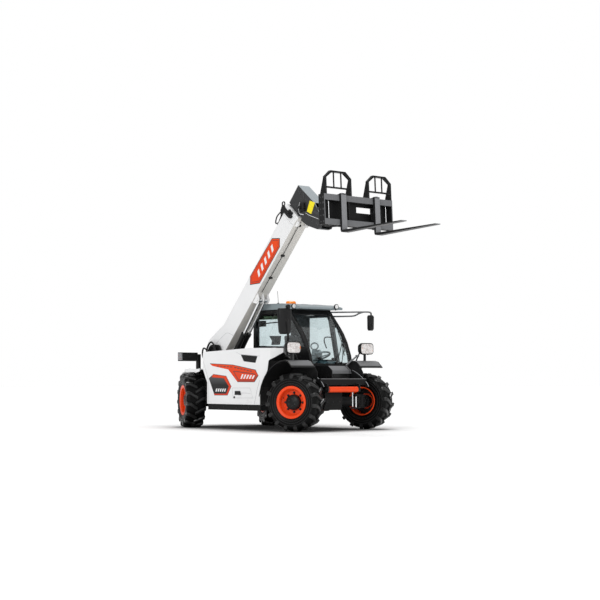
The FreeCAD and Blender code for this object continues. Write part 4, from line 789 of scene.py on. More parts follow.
def make_hood_trim():
    hood_print("stripe_edge", [(x + (0.012 if x > -1.2 else -0.012), z + (0.009 if z > 0.85 else -0.011))
                               for x, z in STRIPE], "print_black", 1)
    hood_print("stripe", STRIPE, "print_orange", 2)
    broken = Shape()
    for outline in (dashes((-1.60, 0.962), (-1.20, 0.944), 5, 0.010, 0.021)
                    + dashes((-1.18, 0.942), (-0.74, 0.876), 6, 0.010, 0.024)):
        broken.plate(outline, HOOD_FACE - 3 * PRINT, HOOD_FACE - PRINT)
    piece("stripe_dashes", broken, "print_black", "hood", 0)
    rim = Shape()
    for k in range(len(STRIPE_PANEL)):
        start, end = Vector(STRIPE_PANEL[k]), Vector(STRIPE_PANEL[(k + 1) % len(STRIPE_PANEL)])
        across = Vector((start.y - end.y, end.x - start.x)).normalized() * 0.005
        rim.plate([tuple(start - across), tuple(end - across), tuple(end + across), tuple(start + across)],
                  HOOD_FACE - 3 * PRINT, HOOD_FACE - PRINT)
    piece("stripe_panel_rim", rim, "print_black", "hood", 0)
    bars = Shape()
    for k in range(5):
        x = -1.04 + 0.066 * k
        bars.plate([(x, 0.755), (x + 0.036, 0.755), (x + 0.076, 0.822 - 0.004 * k), (x + 0.04, 0.822 - 0.004 * k)],
                   HOOD_FACE - 3 * PRINT, HOOD_FACE - PRINT)
    piece("stripe_bars", bars, "white_paint", "hood", 0)
    hood_print("badge_edge", inset(HOOD_BADGE, -0.006), "print_black", 1)
    hood_print("badge_rim", [(-1.700, 0.819), (-1.385, 0.792), (-1.263, 0.639), (-1.352, 0.511), (-1.664, 0.508),
                             (-1.690, 0.545), (-1.500, 0.620), (-1.740, 0.775)], "print_orange", 2)
    # The badge's black panel carries a painted highlight towards its top.
    hood_print("badge_panel", BADGE_PANEL, "badge_black_painted_highlight", 3)
    slashes = Shape()
    for k in range(5):
        x = -1.640 + 0.052 * k
        slashes.plate([(x, 0.560), (x + 0.030, 0.560), (x + 0.050, 0.606), (x + 0.020, 0.606)],
                      HOOD_FACE - 4 * PRINT, HOOD_FACE - 2 * PRINT)
    piece("badge_slashes", slashes, "white_paint", "hood", 0)
    louvres = Shape()
    # A black plate fills the vent's recess behind the louvres, so the recess reads black.
    louvres.plate([(-1.034, 1.113), (-0.645, 1.087), (-0.690, 0.988), (-0.955, 1.012)], HOOD_FACE - 0.001, -0.868)
    for k in range(7):
        z = 1.018 + 0.0125 * k
        louvres.plate([(-0.975 - 0.007 * k, z), (-0.690 + 0.005 * k, z - 0.014), (-0.690 + 0.005 * k, z - 0.010),
                       (-0.975 - 0.007 * k, z + 0.004)], HOOD_FACE - 0.0035, HOOD_FACE)
    piece("vent_black_plate", louvres, "black_plastic", "hood", 0.0006)
    latch = Shape()
    latch.plate([(-1.165, 0.573), (-1.045, 0.573), (-1.018, 0.514), (-1.170, 0.514)], HOOD_FACE - 0.010, HOOD_FACE)
    latch.turned((-1.184, HOOD_FACE, 0.478), (0, -1, 0), [(0, 0.017), (0.006, 0.017), (0.009, 0.013)], 20)
    piece("hood_latch", latch, "black_plastic", "hood", 0.0025)
    seams = Shape()
    for route, radius in (
            ([(x, z) for x, z in RECESS + RECESS[:1]], 0.0022),
            ([(-1.03, 0.545), (-0.80, 0.540)], 0.0022),
            ([(-0.715, 0.380), (-0.652, 0.591), (-0.592, 0.735)], 0.0028),
            ([(-1.947, 1.020), (-1.850, 0.800), (-1.810, 0.700), (-1.810, 0.390)], 0.0024),
            ([(-1.140, 1.150), (-1.052, 1.118), (-0.640, 1.092), (-0.585, 1.088)], 0.0022)):
        seams.tube([(x, HOOD_FACE, z) for x, z in route], radius, 6, False)
    piece("hood_seams", seams, "seam_grey", "hood", 0)
    sill = Shape()
    for x in (-1.72, -1.45, -1.15, -0.85):
        sill.bolt((x, -0.874, 0.327), (0, -1, 0), 0.009)
    for k in range(14):
        x = -1.70 + 0.075 * k
        sill.plate([(x, 0.3678), (x + 0.05, 0.3678), (x + 0.05, 0.3712), (x, 0.3712)], -0.868, -0.70)
    piece("sill_tread", sill, "frame_grey", "chassis", 0.001)


make_hood_trim()

# Boom: printed panel, cover seam, collar, bosses, underside line with clips, front bracket
BOOM_FACE = -0.270
BOOM_BADGE = [(1.400, 0.146), (1.296, 0.059), (1.466, -0.112), (2.176, -0.117), (2.277, -0.026), (2.162, 0.120)]


def make_boom_trim():
    for name, outline, finish, layer in (
            ("boom_badge_edge", BOOM_BADGE, "print_black", 1),
            ("boom_badge", inset(BOOM_BADGE, 0.012), "boom_orange", 2),
            ("boom_badge_inner", inset(BOOM_BADGE, 0.034), "print_black", 3),
            ("boom_badge_field", inset(BOOM_BADGE, 0.040), "boom_orange", 4)):
        face = BOOM_FACE - PRINT * (layer - 1)
        piece(name, Shape(BOOM).plate(outline, face - PRINT, face), finish, "outer_boom", 0)
    strokes = Shape(BOOM)
    for k in range(5):
        x = 1.52 + 0.12 * k
        strokes.plate([(x, -0.035), (x + 0.055, -0.035), (x + 0.105, 0.055), (x + 0.05, 0.055)],
                      BOOM_FACE - 5 * PRINT, BOOM_FACE - 3 * PRINT)
    piece("boom_badge_strokes", strokes, "white_paint", "outer_boom", 0)
    cover = Shape(BOOM)
    cover.tube([(0.02, BOOM_FACE, 0.115), (0.16, BOOM_FACE, 0.080), (0.36, BOOM_FACE, 0.012),
                (0.43, BOOM_FACE, -0.10),
                (0.44, BOOM_FACE, -0.150)], 0.0025, 6)
    cover.tube([(2.60, BOOM_FACE, -0.150), (2.60, BOOM_FACE, 0.150)], 0.002, 6, False)
    piece("boom_cover_seam", cover, "seam_grey", "outer_boom", 0)
    pivot = Shape(BOOM)
    pivot.turned((0, BOOM_FACE, 0), (0, -1, 0), [(0, 0.058), (0.006, 0.058), (0.009, 0.05)], 32)
    for k in range(4):
        angle = math.pi * (k + 0.5) / 2
        pivot.bolt((0.046 * math.cos(angle), BOOM_FACE - 0.008, 0.046 * math.sin(angle)), (0, -1, 0), 0.006)
    piece("boom_pivot_cap", pivot, "white_paint", "outer_boom", 0.001)
    line = Shape(BOOM)
    route = [(1.33, -0.185, -0.158), (1.52, -0.186, -0.163), (2.15, -0.172, -0.163), (2.62, -0.180, -0.163),
             (2.70, -0.180, -0.172)]
    line.tube(route, 0.0048, 8)
    piece("boom_hoses", line, "hose_rubber", "outer_boom", 0)
    clips = Shape(BOOM)
    for x in (1.62, 2.05, 2.62):
        clips.bar((x - 0.014, x + 0.014), (-0.200, -0.140), (-0.1745, -0.1515))
        clips.bolt((x, -0.134, -0.152), (0, 0, -1), 0.007)
    piece("boom_clips", clips, "black_plastic", "outer_boom", 0.002)
    bosses = Shape(BOOM)
    for y in (-0.236, -0.050):
        bosses.plate([(2.60, -0.150), (2.725, -0.150), (2.705, -0.205), (2.665, -0.222), (2.625, -0.205)],
                     y - 0.012, y + 0.012)
        bosses.turned((2.665, y - 0.018, -0.192), (0, 1, 0), [(0, 0.017), (0.036, 0.017)], 20)
    piece("boom_bosses", bosses, "boom_paint", "outer_boom", 0.002)
    collar = Shape(BOOM)
    for x in (2.735, 2.767):
        for z in (-0.120, 0.0, 0.120):
            collar.bolt((x, BOOM_FACE - 0.024, z), (0, -1, 0), 0.0075)
    piece("collar_bolts", collar, "white_paint", "outer_boom", 0)
    bracket = Shape(BOOM)
    bracket.plate([(2.40, 0.150), (2.58, 0.150), (2.60, 0.185), (2.66, 0.250), (2.64, 0.290), (2.58, 0.275),
                   (2.52, 0.215), (2.42, 0.195)], -0.240, -0.222)
    bracket.bar((2.38, 2.60), (-0.262, -0.130), (0.1525, 0.170))
    bracket.bar((2.46, 2.60), (-0.215, -0.150), (0.170, 0.232))
    bracket.turned((2.60, -0.200, 0.235), (1, 0, 0.4), [(-0.03, 0.020), (0.0, 0.040), (0.045, 0.048),
                                                        (0.050, 0.040)], 20)
    for hose in ([(2.64, -0.231, 0.275), (2.69, -0.231, 0.320), (2.725, -0.231, 0.290), (2.70, -0.231, 0.255)],
                 [(2.42, -0.252, 0.168), (2.38, -0.256, 0.215), (2.46, -0.250, 0.262), (2.56, -0.245, 0.250)],
                 [(2.44, -0.140, 0.168), (2.40, -0.138, 0.215), (2.48, -0.150, 0.255), (2.57, -0.175, 0.240)]):
        bracket.tube(hose, 0.010, 8)
    bracket.bar((2.665, 2.765), (-0.330, -0.2705), (-0.050, 0.040))
    bracket.bar((2.640, 2.700), (-0.300, -0.2705), (0.020, 0.152))
    bracket.plate([(2.635, 0.1525), (2.715, 0.1525), (2.735, 0.205), (2.690, 0.232), (2.640, 0.205)],
                  -0.300, -0.286)
    bracket.turned((2.715, -0.330, -0.005), (0, -1, 0),
                   [(0, 0.030), (0.010, 0.028), (0.014, 0.014), (0.030, 0.012)], 18)
    piece("boom_bracket", bracket, "black_plastic", "outer_boom", 0.002)


make_boom_trim()

# Head: plain yellow plate, slots, couplings and steel edge, on the side plate of the inner boom
HEAD_FACE = -0.255


def make_head_trim():
    plate = Shape(BOOM).plate([(3.101, -0.187), (3.147, -0.300), (2.971, -0.346), (2.939, -0.241)],
                              HEAD_FACE - 0.0012, HEAD_FACE)
    piece("head_plate_blank", plate, "print_yellow", "inner_boom", 0)
    dark = Shape(BOOM)
    dark.tube([(3.045, HEAD_FACE, 0.055), (3.085, HEAD_FACE, 0.062), (3.112, HEAD_FACE, 0.030),
               (3.085, HEAD_FACE, -0.020), (3.030, HEAD_FACE, -0.062)], 0.0075, 8)
    dark.plate([(3.103, -0.363), (3.222, -0.500), (3.194, -0.525), (3.076, -0.387)], HEAD_FACE - 0.0015, HEAD_FACE)
    dark.plate([(3.014, -0.354), (3.060, -0.372), (3.098, -0.545), (3.074, -0.560)], HEAD_FACE - 0.0015, HEAD_FACE)
    piece("head_slots", dark, "print_black", "inner_boom", 0)
    blocks = Shape(BOOM)
    blocks.plate([(2.945, -0.055), (3.015, -0.120), (2.935, -0.215), (2.865, -0.150)], HEAD_FACE - 0.030, HEAD_FACE)
    for x, z in ((2.915, -0.115), (2.965, -0.168)):
        blocks.turned((x, HEAD_FACE - 0.028, z), (0, -1, 0), [(0, 0.026), (0.026, 0.026), (0.032, 0.019)], 20)
    piece("head_couplings", blocks, "black_plastic", "inner_boom", 0.002)
    rings = Shape(BOOM)
    rings.tube([(2.955, HEAD_FACE - 0.008, -0.035), (2.88, HEAD_FACE - 0.018, -0.080),
                (2.835, HEAD_FACE - 0.018, -0.150), (2.870, HEAD_FACE - 0.008, -0.225)], 0.008, 8)
    rings.tube([(2.908, HEAD_FACE, -0.237), (2.935, HEAD_FACE - 0.001, -0.330), (2.985, HEAD_FACE - 0.001, -0.450),
                (3.016, HEAD_FACE, -0.528)], 0.005, 8)
    piece("head_pipes", rings, "chrome_rod", "inner_boom", 0)
    pin = Shape(BOOM)
    pin.turned((2.973, HEAD_FACE - 0.0005, -0.554), (0, -1, 0), [(0, 0.045), (0.006, 0.045), (0.010, 0.036)], 28)
    pin.bolt((3.013, HEAD_FACE - 0.008, -0.554), (0, -1, 0), 0.007)
    for x, z in ((2.86, 0.10), (3.06, 0.12), (2.86, -0.02), (3.08, -0.60), (2.90, -0.42)):
        pin.bolt((x, HEAD_FACE, z), (0, -1, 0), 0.009)
    piece("head_bolts", pin, "head_paint", "inner_boom", 0)


make_head_trim()


# Tool: end plate holes, hooks, latch rods and clamps
def make_tool_trim():
    holes = Shape(TOOL)
    for z in (-0.09, 0.0, 0.09, 0.18, 0.26):
        holes.turned((0.585, -0.6805, z), (0, 1, 0), [(0, 0.016), (0.0015, 0.016)], 18)
        holes.turned((0.530, -0.6805, z), (0, 1, 0), [(0, 0.010), (0.0015, 0.010)], 14)
    piece("carriage_holes", holes, "print_black", "tool", 0)
    rods = Shape(TOOL)
    for y in (-0.545, 0.595):
        rods.tube([(0.548, y, 0.222), (0.548, y, -0.046)], 0.007, 8)
    for y in (-0.335, 0.335):
        rods.turned((0.640, y, 0.331), (0, 0, 1), [(0, 0.014), (0.010, 0.014), (0.014, 0.010)], 16)
    piece("carriage_rods", rods, "chrome_rod", "tool", 0)
    clamps = Shape(TOOL)
    for k in range(17):
        y = -0.64 + 0.08 * k
        clamps.bar((0.575, 0.600), (y - 0.006, y + 0.006), (0.3095, 0.3115))
    for y in (-0.335, 0.335):
        clamps.bar((0.560, 0.6505), (y - 0.045, y + 0.045), (0.3105, 0.324))
        clamps.bar((0.562, 0.612), (y - 0.045, y + 0.045), (-0.150, -0.1305))
    piece("fork_clamps", clamps, "black_paint", "tool", 0.001)


make_tool_trim()


# Lamps: a lens, its bezel and its fixings
LAMP_HEIGHT = 1.205
WORK_LAMPS = [("right", (-0.835, -0.006, 1.857)), ("left", (-0.712, 0.760, 1.866))]


def make_lamps():
    for side, label in ((1, "left"), (-1, "right")):
        middle = 0.730 * side
        body = Shape()
        rings = []
        for x, wide, high, radius in ((-0.006, 0.128, 0.081, 0.046), (0.001, 0.131, 0.084, 0.050),
                                      (-0.006, 0.134, 0.086, 0.052), (-0.040, 0.134, 0.086, 0.052),
                                      (-0.080, 0.118, 0.074, 0.050), (-0.102, 0.080, 0.052, 0.044)):
            rings.append([(x, y, z) for y, z in rounded((middle - wide, LAMP_HEIGHT - high),
                                                        (middle + wide, LAMP_HEIGHT + high), radius)])
        body.skin(rings)
        for y in (middle - 0.05, middle + 0.05):
            body.bolt((-0.04, y, 1.123), (0, 0, -1), 0.011)
        body.tube([(-0.055, middle, 1.135), (-0.055, middle, 1.010)], 0.020, 12)
        body.tube([(-0.075, middle - 0.075 * side, 1.160), (-0.085, middle - 0.110 * side, 1.090),
                   (-0.090, middle - 0.150 * side, 1.015)], 0.011, 8)
        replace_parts(piece("headlight_body_" + label, body, "lamp_plastic", "chassis", 0.001), "headlights")
        glass = Shape()
        glass.skin([[(x, y, z) for y, z in rounded((middle - wide, LAMP_HEIGHT - high),
                                                   (middle + wide, LAMP_HEIGHT + high), radius)]
                    for x, wide, high, radius in ((-0.004, 0.122, 0.075, 0.044), (0.005, 0.119, 0.072, 0.042),
                                                  (0.011, 0.100, 0.055, 0.036), (0.013, 0.060, 0.030, 0.024))])
        piece("headlight_lens_" + label, glass, "head_lens", "chassis", 0)
        turn = Shape()
        for y, z in ((-0.105, 1.190), (0.088, 1.165)):
            turn.plate(rounded((middle + y * side, z), (middle + y * side + 0.016, z + 0.040), 0.006), 0.002,
                       0.0105, "YZ")
        piece("turn_signal_" + label, turn, "amber_lens", "chassis", 0)
    for label, (x, y, z) in WORK_LAMPS:
        bowl = Shape()
        bowl.turned((x, y, z), (1, 0, 0), [(-0.046, 0.016), (-0.040, 0.026), (-0.018, 0.039), (0.004, 0.041),
                                           (0.006, 0.036),
                                          (0.002, 0.034)], 28)
        bowl.tube([(x - 0.02, y, z - 0.036), (x - 0.035, y + 0.012, z - 0.052),
                   (x - 0.075, y + 0.03, z - 0.040)], 0.008, 8)
        bowl.tube([(x - 0.04, y, z), (x - 0.075, y + 0.03, z - 0.010)], 0.010, 8)
        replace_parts(piece("work_lamp_bowl_" + label, bowl, "black_plastic", "chassis", 0), "work_lamps")
        glass = Shape().turned((x, y, z), (1, 0, 0), [(0.001, 0.035), (0.006, 0.031), (0.0085, 0.018),
                                                      (0.009, 0.002)], 28)
        piece("work_lamp_lens_" + label, glass, "work_lens", "chassis", 0)
    for side, label in ((1, "left"), (-1, "right")):
        near, far = sorted((0.745 * side, 0.872 * side))
        edge = far if side > 0 else near
        cluster = Shape()
        cluster.plate(rounded((near, 1.040), (far, 1.155), 0.014), -2.611, -2.6045, "YZ")
        for k in range(7):
            z = 1.048 + 0.0155 * k
            cluster.bar((-2.6055, -2.5145), (edge - 0.0115, edge + 0.0115), (z, z + 0.009))
        piece("rear_lamp_lens_" + label, cluster, "red_lens" if side > 0 else "seam_grey", "chassis", 0.001)
        inner = min(0.60 * side, 0.71 * side)
        marks = Shape().plate(rounded((inner, 1.050), (inner + 0.11, 1.145), 0.012), -2.6095, -2.6045, "YZ")
        for x, z in ((-2.585, 1.12), (-2.535, 1.07)):
            marks.bolt((x, 0.8805 * side, z), (0, side, 0), 0.006)
        piece("rear_lamp_marks_" + label, marks, "red_lens", "chassis", 0.001)


make_lamps()


# Mirrors: rounded shells on their stalks
def make_mirrors():
    shells = Shape()
    for outline, back, front in (
            ([(-0.922, 1.735), (-0.900, 1.772), (-0.712, 1.782), (-0.682, 1.750), (-0.684, 1.440), (-0.712, 1.402),
              (-0.862, 1.398), (-0.890, 1.430)], -0.162, -0.086),
            ([(1.166, 1.716), (1.184, 1.738), (1.262, 1.738), (1.280, 1.716), (1.276, 1.520), (1.256, 1.498),
              (1.190, 1.498), (1.170, 1.520)], -0.462, -0.398)):
        depth = front - back
        rings = []
        for share, by in ((0.0, 0.006), (0.12, 0.0), (0.55, 0.0), (0.85, 0.012), (1.0, 0.034)):
            rings.append([(back + depth * share, y, z) for y, z in inset(outline, by)])
        shells.skin(rings)
    shells.turned((-0.092, -0.795, 1.600), (1, 0, 0), [(-0.02, 0.040), (0.004, 0.038), (0.014, 0.030),
                                                       (0.018, 0.012)], 24)
    shells.turned((-0.125, -0.735, 1.800), (1, 0, 0), [(-0.03, 0.012), (-0.022, 0.030), (0.0, 0.034),
                                                       (0.022, 0.030),
                                                       (0.030, 0.012)], 20)
    shells.turned((-0.430, 1.222, 1.585), (1, 0, 0), [(0.02, 0.026), (0.040, 0.024), (0.046, 0.016)], 22)
    shells.tube([(-0.080, -0.795, 1.600), (-0.078, -0.785, 1.520), (-0.095, -0.760, 1.380), (-0.140, -0.733, 1.240),
                 (-0.150, -0.730, 1.079)], 0.018, 12)
    shells.tube([(-0.425, 1.222, 1.770), (-0.425, 1.222, 1.735)], 0.012, 10)
    shells.bar((-0.162, -0.048), (-0.748, -0.712), (1.076, 1.104))
    mirror = piece("mirror_shells", shells, "black_plastic", "chassis", 0.001, 40)
    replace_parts(mirror, "mirrors")
    glass = Shape()
    glass.plate([(-0.905, 1.740), (-0.700, 1.755), (-0.700, 1.425), (-0.872, 1.420)], -0.1635, -0.1610, "YZ")
    glass.plate(rounded((1.180, 1.512), (1.266, 1.724), 0.016), -0.4635, -0.4610, "YZ")
    piece("mirror_glasses", glass, "mirror_glass", "chassis", 0.0005)
    arms = Shape()
    arms.tube([(-1.000, 0.903, 1.792), (-0.800, 1.022, 1.792), (-0.520, 1.180, 1.790), (-0.440, 1.215, 1.782),
               (-0.425, 1.222, 1.755)], 0.0125, 10)
    arms.tube([(-1.000, 0.903, 1.726), (-0.800, 1.012, 1.726), (-0.670, 1.088, 1.732), (-0.600, 1.130, 1.768),
               (-0.545, 1.165, 1.788)], 0.0125, 10)
    piece("mirror_arms", arms, "arm_grey", "chassis", 0)


make_mirrors()


# Cab: pane surrounds, wipers, roof trim, handles and what stands inside
SCREEN = [(0.946, -0.500), (1.111, -0.534), (1.308, -0.613), (1.461, -0.705), (1.600, -0.821), (1.756, -0.961)]


def on_screen(z, out=0.0):
    """The windscreen's outer line at a height."""
    for (z0, x0), (z1, x1) in zip(SCREEN, SCREEN[1:]):
        if z <= z1:
            break
    return x0 + (x1 - x0) * (z - z0) / (z1 - z0) + out


def make_cab_trim():
    rubber = Shape()
    heights = [0.980, 1.111, 1.210, 1.308, 1.385, 1.461, 1.530, 1.600, 1.680, 1.738]
    for y in (0.086, 0.854):
        rubber.tube([(on_screen(z, -0.011), y, z) for z in heights], 0.006, 6, False)
    for z in (heights[0], heights[-1]):
        rubber.tube([(on_screen(z, -0.011), 0.086, z), (on_screen(z, -0.011), 0.854, z)], 0.006, 6, False)
    rubber.tube([(-0.640, 0.0385, 1.238), (-0.677, 0.0385, 1.308), (-0.769, 0.0385, 1.461), (-0.885, 0.0385, 1.600),
                 (-1.020, 0.0385, 1.752), (-1.805, 0.0385, 1.754), (-1.805, 0.0385, 1.238)], 0.007, 6, False, True)
    piece("pane_rubbers", rubber, "hose_rubber", "chassis", 0)
    wipers = Shape()
    for (y0, z0), (y1, z1) in (((0.560, 0.992), (0.800, 1.350)), ((0.668, 0.992), (0.832, 1.405))):
        wipers.turned((on_screen(z0, -0.004), y0, z0), (1, 0, 0.2),
                      [(0, 0.020), (0.016, 0.020), (0.022, 0.014)], 16)
        shares = [k / 4 for k in range(5)]
        wipers.tube([(on_screen(z0 + (z1 - z0) * s, 0.010), y0 + (y1 - y0) * s,
                      z0 + (z1 - z0) * s) for s in shares],
                    0.0062, 8)
        wipers.tube([(on_screen(z1 - 0.24 + 0.38 * s, 0.0), y1 - 0.045 + 0.045 * s, z1 - 0.24 + 0.38 * s)
                     for s in shares], 0.0065, 6)
    piece("wipers", wipers, "black_plastic", "chassis", 0)
    cowl = Shape()
    cowl.bar((-0.515, -0.496), (0.110, 0.830), (0.950, 0.966))
    for k in range(9):
        y = 0.10 + 0.031 * k
        cowl.bar((-0.42, -0.22), (y, y + 0.012), (0.9455, 0.9490))
    for y in (0.090, 0.378):
        cowl.bolt((-0.050, y, 0.80), (1, 0, 0), 0.008)
    piece("cowl", cowl, "black_plastic", "chassis", 0.001)
    roof = Shape()
    for y in (0.032, 0.908):
        roof.tube([(-0.752, y, 1.846), (-0.900, y, 1.880), (-1.150, y, 1.898), (-1.60, y, 1.904),
                   (-1.84, y, 1.880)],
                  0.010, 8)
    for y in (0.22, 0.47, 0.72):
        roof.plate([(-0.92, 1.8895), (-1.15, 1.9095), (-1.70, 1.9170), (-1.70, 1.9215), (-1.15, 1.9140),
                    (-0.92, 1.8940)], y - 0.03, y + 0.03)
    piece("roof_rails", roof, "roof_plastic", "chassis", 0.002)
    shade_band = Shape().bar((-1.80, -1.06), (0.052, 0.055), (1.672, 1.752))
    piece("window_tint_band", shade_band, "dark_tint", "chassis", 0)
    mast = Shape()
    mast.turned((-1.60, 0.330, 1.915), (0, 0, 1), [(0, 0.022), (0.02, 0.018), (0.034, 0.008)], 18)
    mast.tube([(-1.60, 0.330, 1.94), (-1.602, 0.325, 2.03), (-1.606, 0.318, 2.13)], 0.0032, 6)
    piece("antenna", mast, "black_plastic", "chassis", 0)
    base = Shape().turned((-1.435, 0.450, 1.9148), (0, 0, 1), [(0, 0.086), (0.010, 0.085), (0.013, 0.080)], 30)
    piece("beacon_base", base, "black_plastic", "chassis", 0.001)
    dome = Shape().turned((-1.435, 0.450, 1.9270), (0, 0, 1), [(0, 0.079), (0.030, 0.077), (0.040, 0.066),
                                                               (0.044, 0.040),
                                                              (0.045, 0.004)], 30)
    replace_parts(piece("beacon_dome", dome, "amber_plastic", "chassis", 0), "beacon")


make_cab_trim()


def make_door_trim():
    door = Shape()
    door.bar((-0.985, -0.880), (0.8965, 0.905), (1.005, 1.050))
    door.tube([(-0.965, 0.902, 1.030), (-0.962, 0.930, 1.030), (-0.90, 0.930, 1.030), (-0.897, 0.902, 1.030)],
              0.008, 8)
    door.tube([(-0.930, 0.856, 1.390), (-0.955, 0.835, 1.400), (-1.060, 0.830, 1.395), (-1.078, 0.832, 1.330),
               (-1.030, 0.835, 1.230)], 0.009, 8)
    door.tube([(-1.50, 0.856, 0.93), (-1.50, 0.835, 0.95), (-1.20, 0.835, 0.96), (-1.20, 0.856, 0.94)], 0.010, 8)
    piece("door_handles", door, "black_plastic", "door", 0)


make_door_trim()


def make_cab_inside():
    wheel = Shape()
    centre = Vector((-0.805, 0.470, 1.098))
    lean = Vector((-math.sin(math.radians(21.3)), 0, math.cos(math.radians(21.3))))
    across = Vector((0, 1, 0))
    up = lean.cross(across)
    turns = [2 * math.pi * k / 40 for k in range(40)]
    wheel.tube([centre + 0.175 * (across * math.cos(a) + up * math.sin(a)) for a in turns], 0.0145, 12, False, True)
    for angle in (90, 210, 330):
        way = across * math.cos(math.radians(angle)) + up * math.sin(math.radians(angle))
        wheel.tube([centre - lean * 0.012, centre + way * 0.09 - lean * 0.008, centre + way * 0.172], 0.010, 8)
    wheel.turned(centre - lean * 0.022, lean, [(0, 0.040), (0.020, 0.046), (0.030, 0.040), (0.034, 0.022)], 28)
    rim = piece("steering_ring", wheel, "grip_grey", "chassis", 0)
    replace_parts(rim, "steering_wheel")
    dash = Shape()
    dash.bar((-0.700, -0.600), (0.315, 0.625), (1.0305, 1.046))
    dash.plate(rounded((0.360, 0.940), (0.580, 1.020), 0.02), -0.7125, -0.7065, "YZ")
    dash.bar((-0.66, -0.60), (0.60, 0.63), (1.046, 1.075))
    piece("dash_top", dash, "black_plastic", "chassis", 0.004)
    face = Shape().plate([(-0.5605, 0.875), (-0.5605, 0.950), (-0.5735, 1.006), (-0.6195, 1.0312), (-0.640, 1.0312),
                          (-0.640, 0.875)], 0.296, 0.644)
    piece("dash_shell", face, "dash_plastic", "chassis", 0.004)
    levers = Shape()
    for x, y, top in ((-1.02, 0.150, 1.14), (-1.10, 0.175, 1.10)):
        levers.tube([(x, y, 1.008), (x + 0.006, y, 1.05), (x + 0.018, y, top)], 0.008, 8)
        levers.turned((x + 0.018, y, top - 0.01), (0.1, 0, 1), [(0, 0.014), (0.03, 0.021), (0.052, 0.018),
                                                                (0.06, 0.008)], 16)
    levers.bar((-1.48, -1.18), (0.100, 0.205), (1.0105, 1.045))
    for y in (0.40, 0.575):
        levers.tube([(-0.82, y, 0.602), (-0.79, y, 0.66), (-0.76, y, 0.70)], 0.010, 8)
        levers.bar((-0.80, -0.74), (y - 0.04, y + 0.04), (0.690, 0.712))
    piece("levers_pedals", levers, "black_plastic", "chassis", 0.003)
    rest = Shape()
    for y in (0.44, 0.50):
        rest.tube([(-1.433, y, 1.25), (-1.436, y, 1.31)], 0.007, 8)
    rest.tube([(-1.70, 0.075, 1.60), (-1.60, 0.13, 1.62), (-1.30, 0.12, 1.63)], 0.010, 8)
    rest.bar((-1.79, -1.70), (0.09, 0.17), (1.57, 1.66))
    piece("cab_brackets", rest, "black_plastic", "chassis", 0.003)
    tower = Shape().plate([(-1.310, 0.965), (-1.080, 0.965), (-1.085, 1.150), (-1.130, 1.205), (-1.290, 1.205)],
                          0.755, 0.795)
    tower.tube([(-1.245 + 0.085 * math.cos(k * math.pi / 12), 0.775, 1.262 + 0.052 * math.sin(k * math.pi / 12))
                for k in range(24)], 0.011, 8, False, looped=True)
    piece("side_console", tower, "grip_grey", "chassis", 0.004)
    screens = Shape().plate([(-1.767, 1.427), (-1.500, 1.423), (-1.510, 1.345), (-1.530, 1.285), (-1.717, 1.284),
                             (-1.700, 1.350)], 0.285, 0.310)
    screens.plate([(-1.595, 1.250), (-1.379, 1.250), (-1.379, 1.716), (-1.595, 1.716)], 0.785, 0.797)
    for x, z, radius in ((-1.740, 1.735, 0.052), (-1.760, 1.610, 0.046)):
        screens.turned((x, 0.085, z), (0, 1, 0), [(0, radius), (0.03, radius - 0.002), (0.045, 0.03)], 20)
    piece("cab_screens", screens, "black_plastic", "chassis", 0.003)


make_cab_inside()


# Seat: stuffed pads swollen by pressure, with piping laid on after
PADS = [
    # name, low corner, high corner, lean, belly, finish
    ("seat_cushion", (-1.455, 0.246, 0.868), (-0.995, 0.694, 0.955), 0.0, 0.014, "seat_cloth"),
    ("seat_bolster_right", (-1.425, 0.236, 0.940), (-1.015, 0.290, 0.978), 0.0, 0.003, "seat_cloth"),
    ("seat_bolster_left", (-1.425, 0.650, 0.940), (-1.015, 0.704, 0.978), 0.0, 0.003, "seat_cloth"),
    ("seat_back", (-1.452, 0.258, 0.985), (-1.368, 0.682, 1.272), 0.08, 0.014, "seat_cloth"),
    ("seat_headrest", (-1.474, 0.345, 1.288), (-1.396, 0.595, 1.425), 0.08, 0.008, "headrest_cloth"),
]


def pad_form(name, low, high, lean, belly):
    """A crowned pad between two corners, drawn in at its corners and leaning back from its foot."""
    pad = bmesh.new()
    bmesh.ops.create_cube(pad, size=1.0)
    bmesh.ops.subdivide_edges(pad, edges=pad.edges[:], cuts=9, use_grid_fill=True)
    low, high = Vector(low), Vector(high)
    half, middle = (high - low) / 2, (high + low) / 2
    lying = half.x > half.z
    for vert in pad.verts:
        share = vert.co * 2
        edges = share.x ** 4 * share.z ** 4 + share.y ** 4 * share.z ** 4 + share.x ** 4 * share.y ** 4
        squeeze = 1 - 0.10 * edges / 3
        crown = belly * (1 - (share.x if lying else share.z) ** 2) * (1 - share.y ** 2)
        point = Vector((share.x * half.x, share.y * half.y, share.z * half.z)) * squeeze
        if lying:
            point.z += crown if share.z > 0 else 0
        else:
            point.x += crown if share.x > 0 else 0
        vert.co = middle + point
        vert.co.x -= lean * (vert.co.z - low.z)
    mesh = bpy.data.meshes.new(name)
    pad.to_mesh(mesh)
    pad.free()
    mesh.transform(MACHINE)
    thing = bpy.data.objects.new(name, mesh)
    bpy.context.scene.collection.objects.link(thing)
    return thing


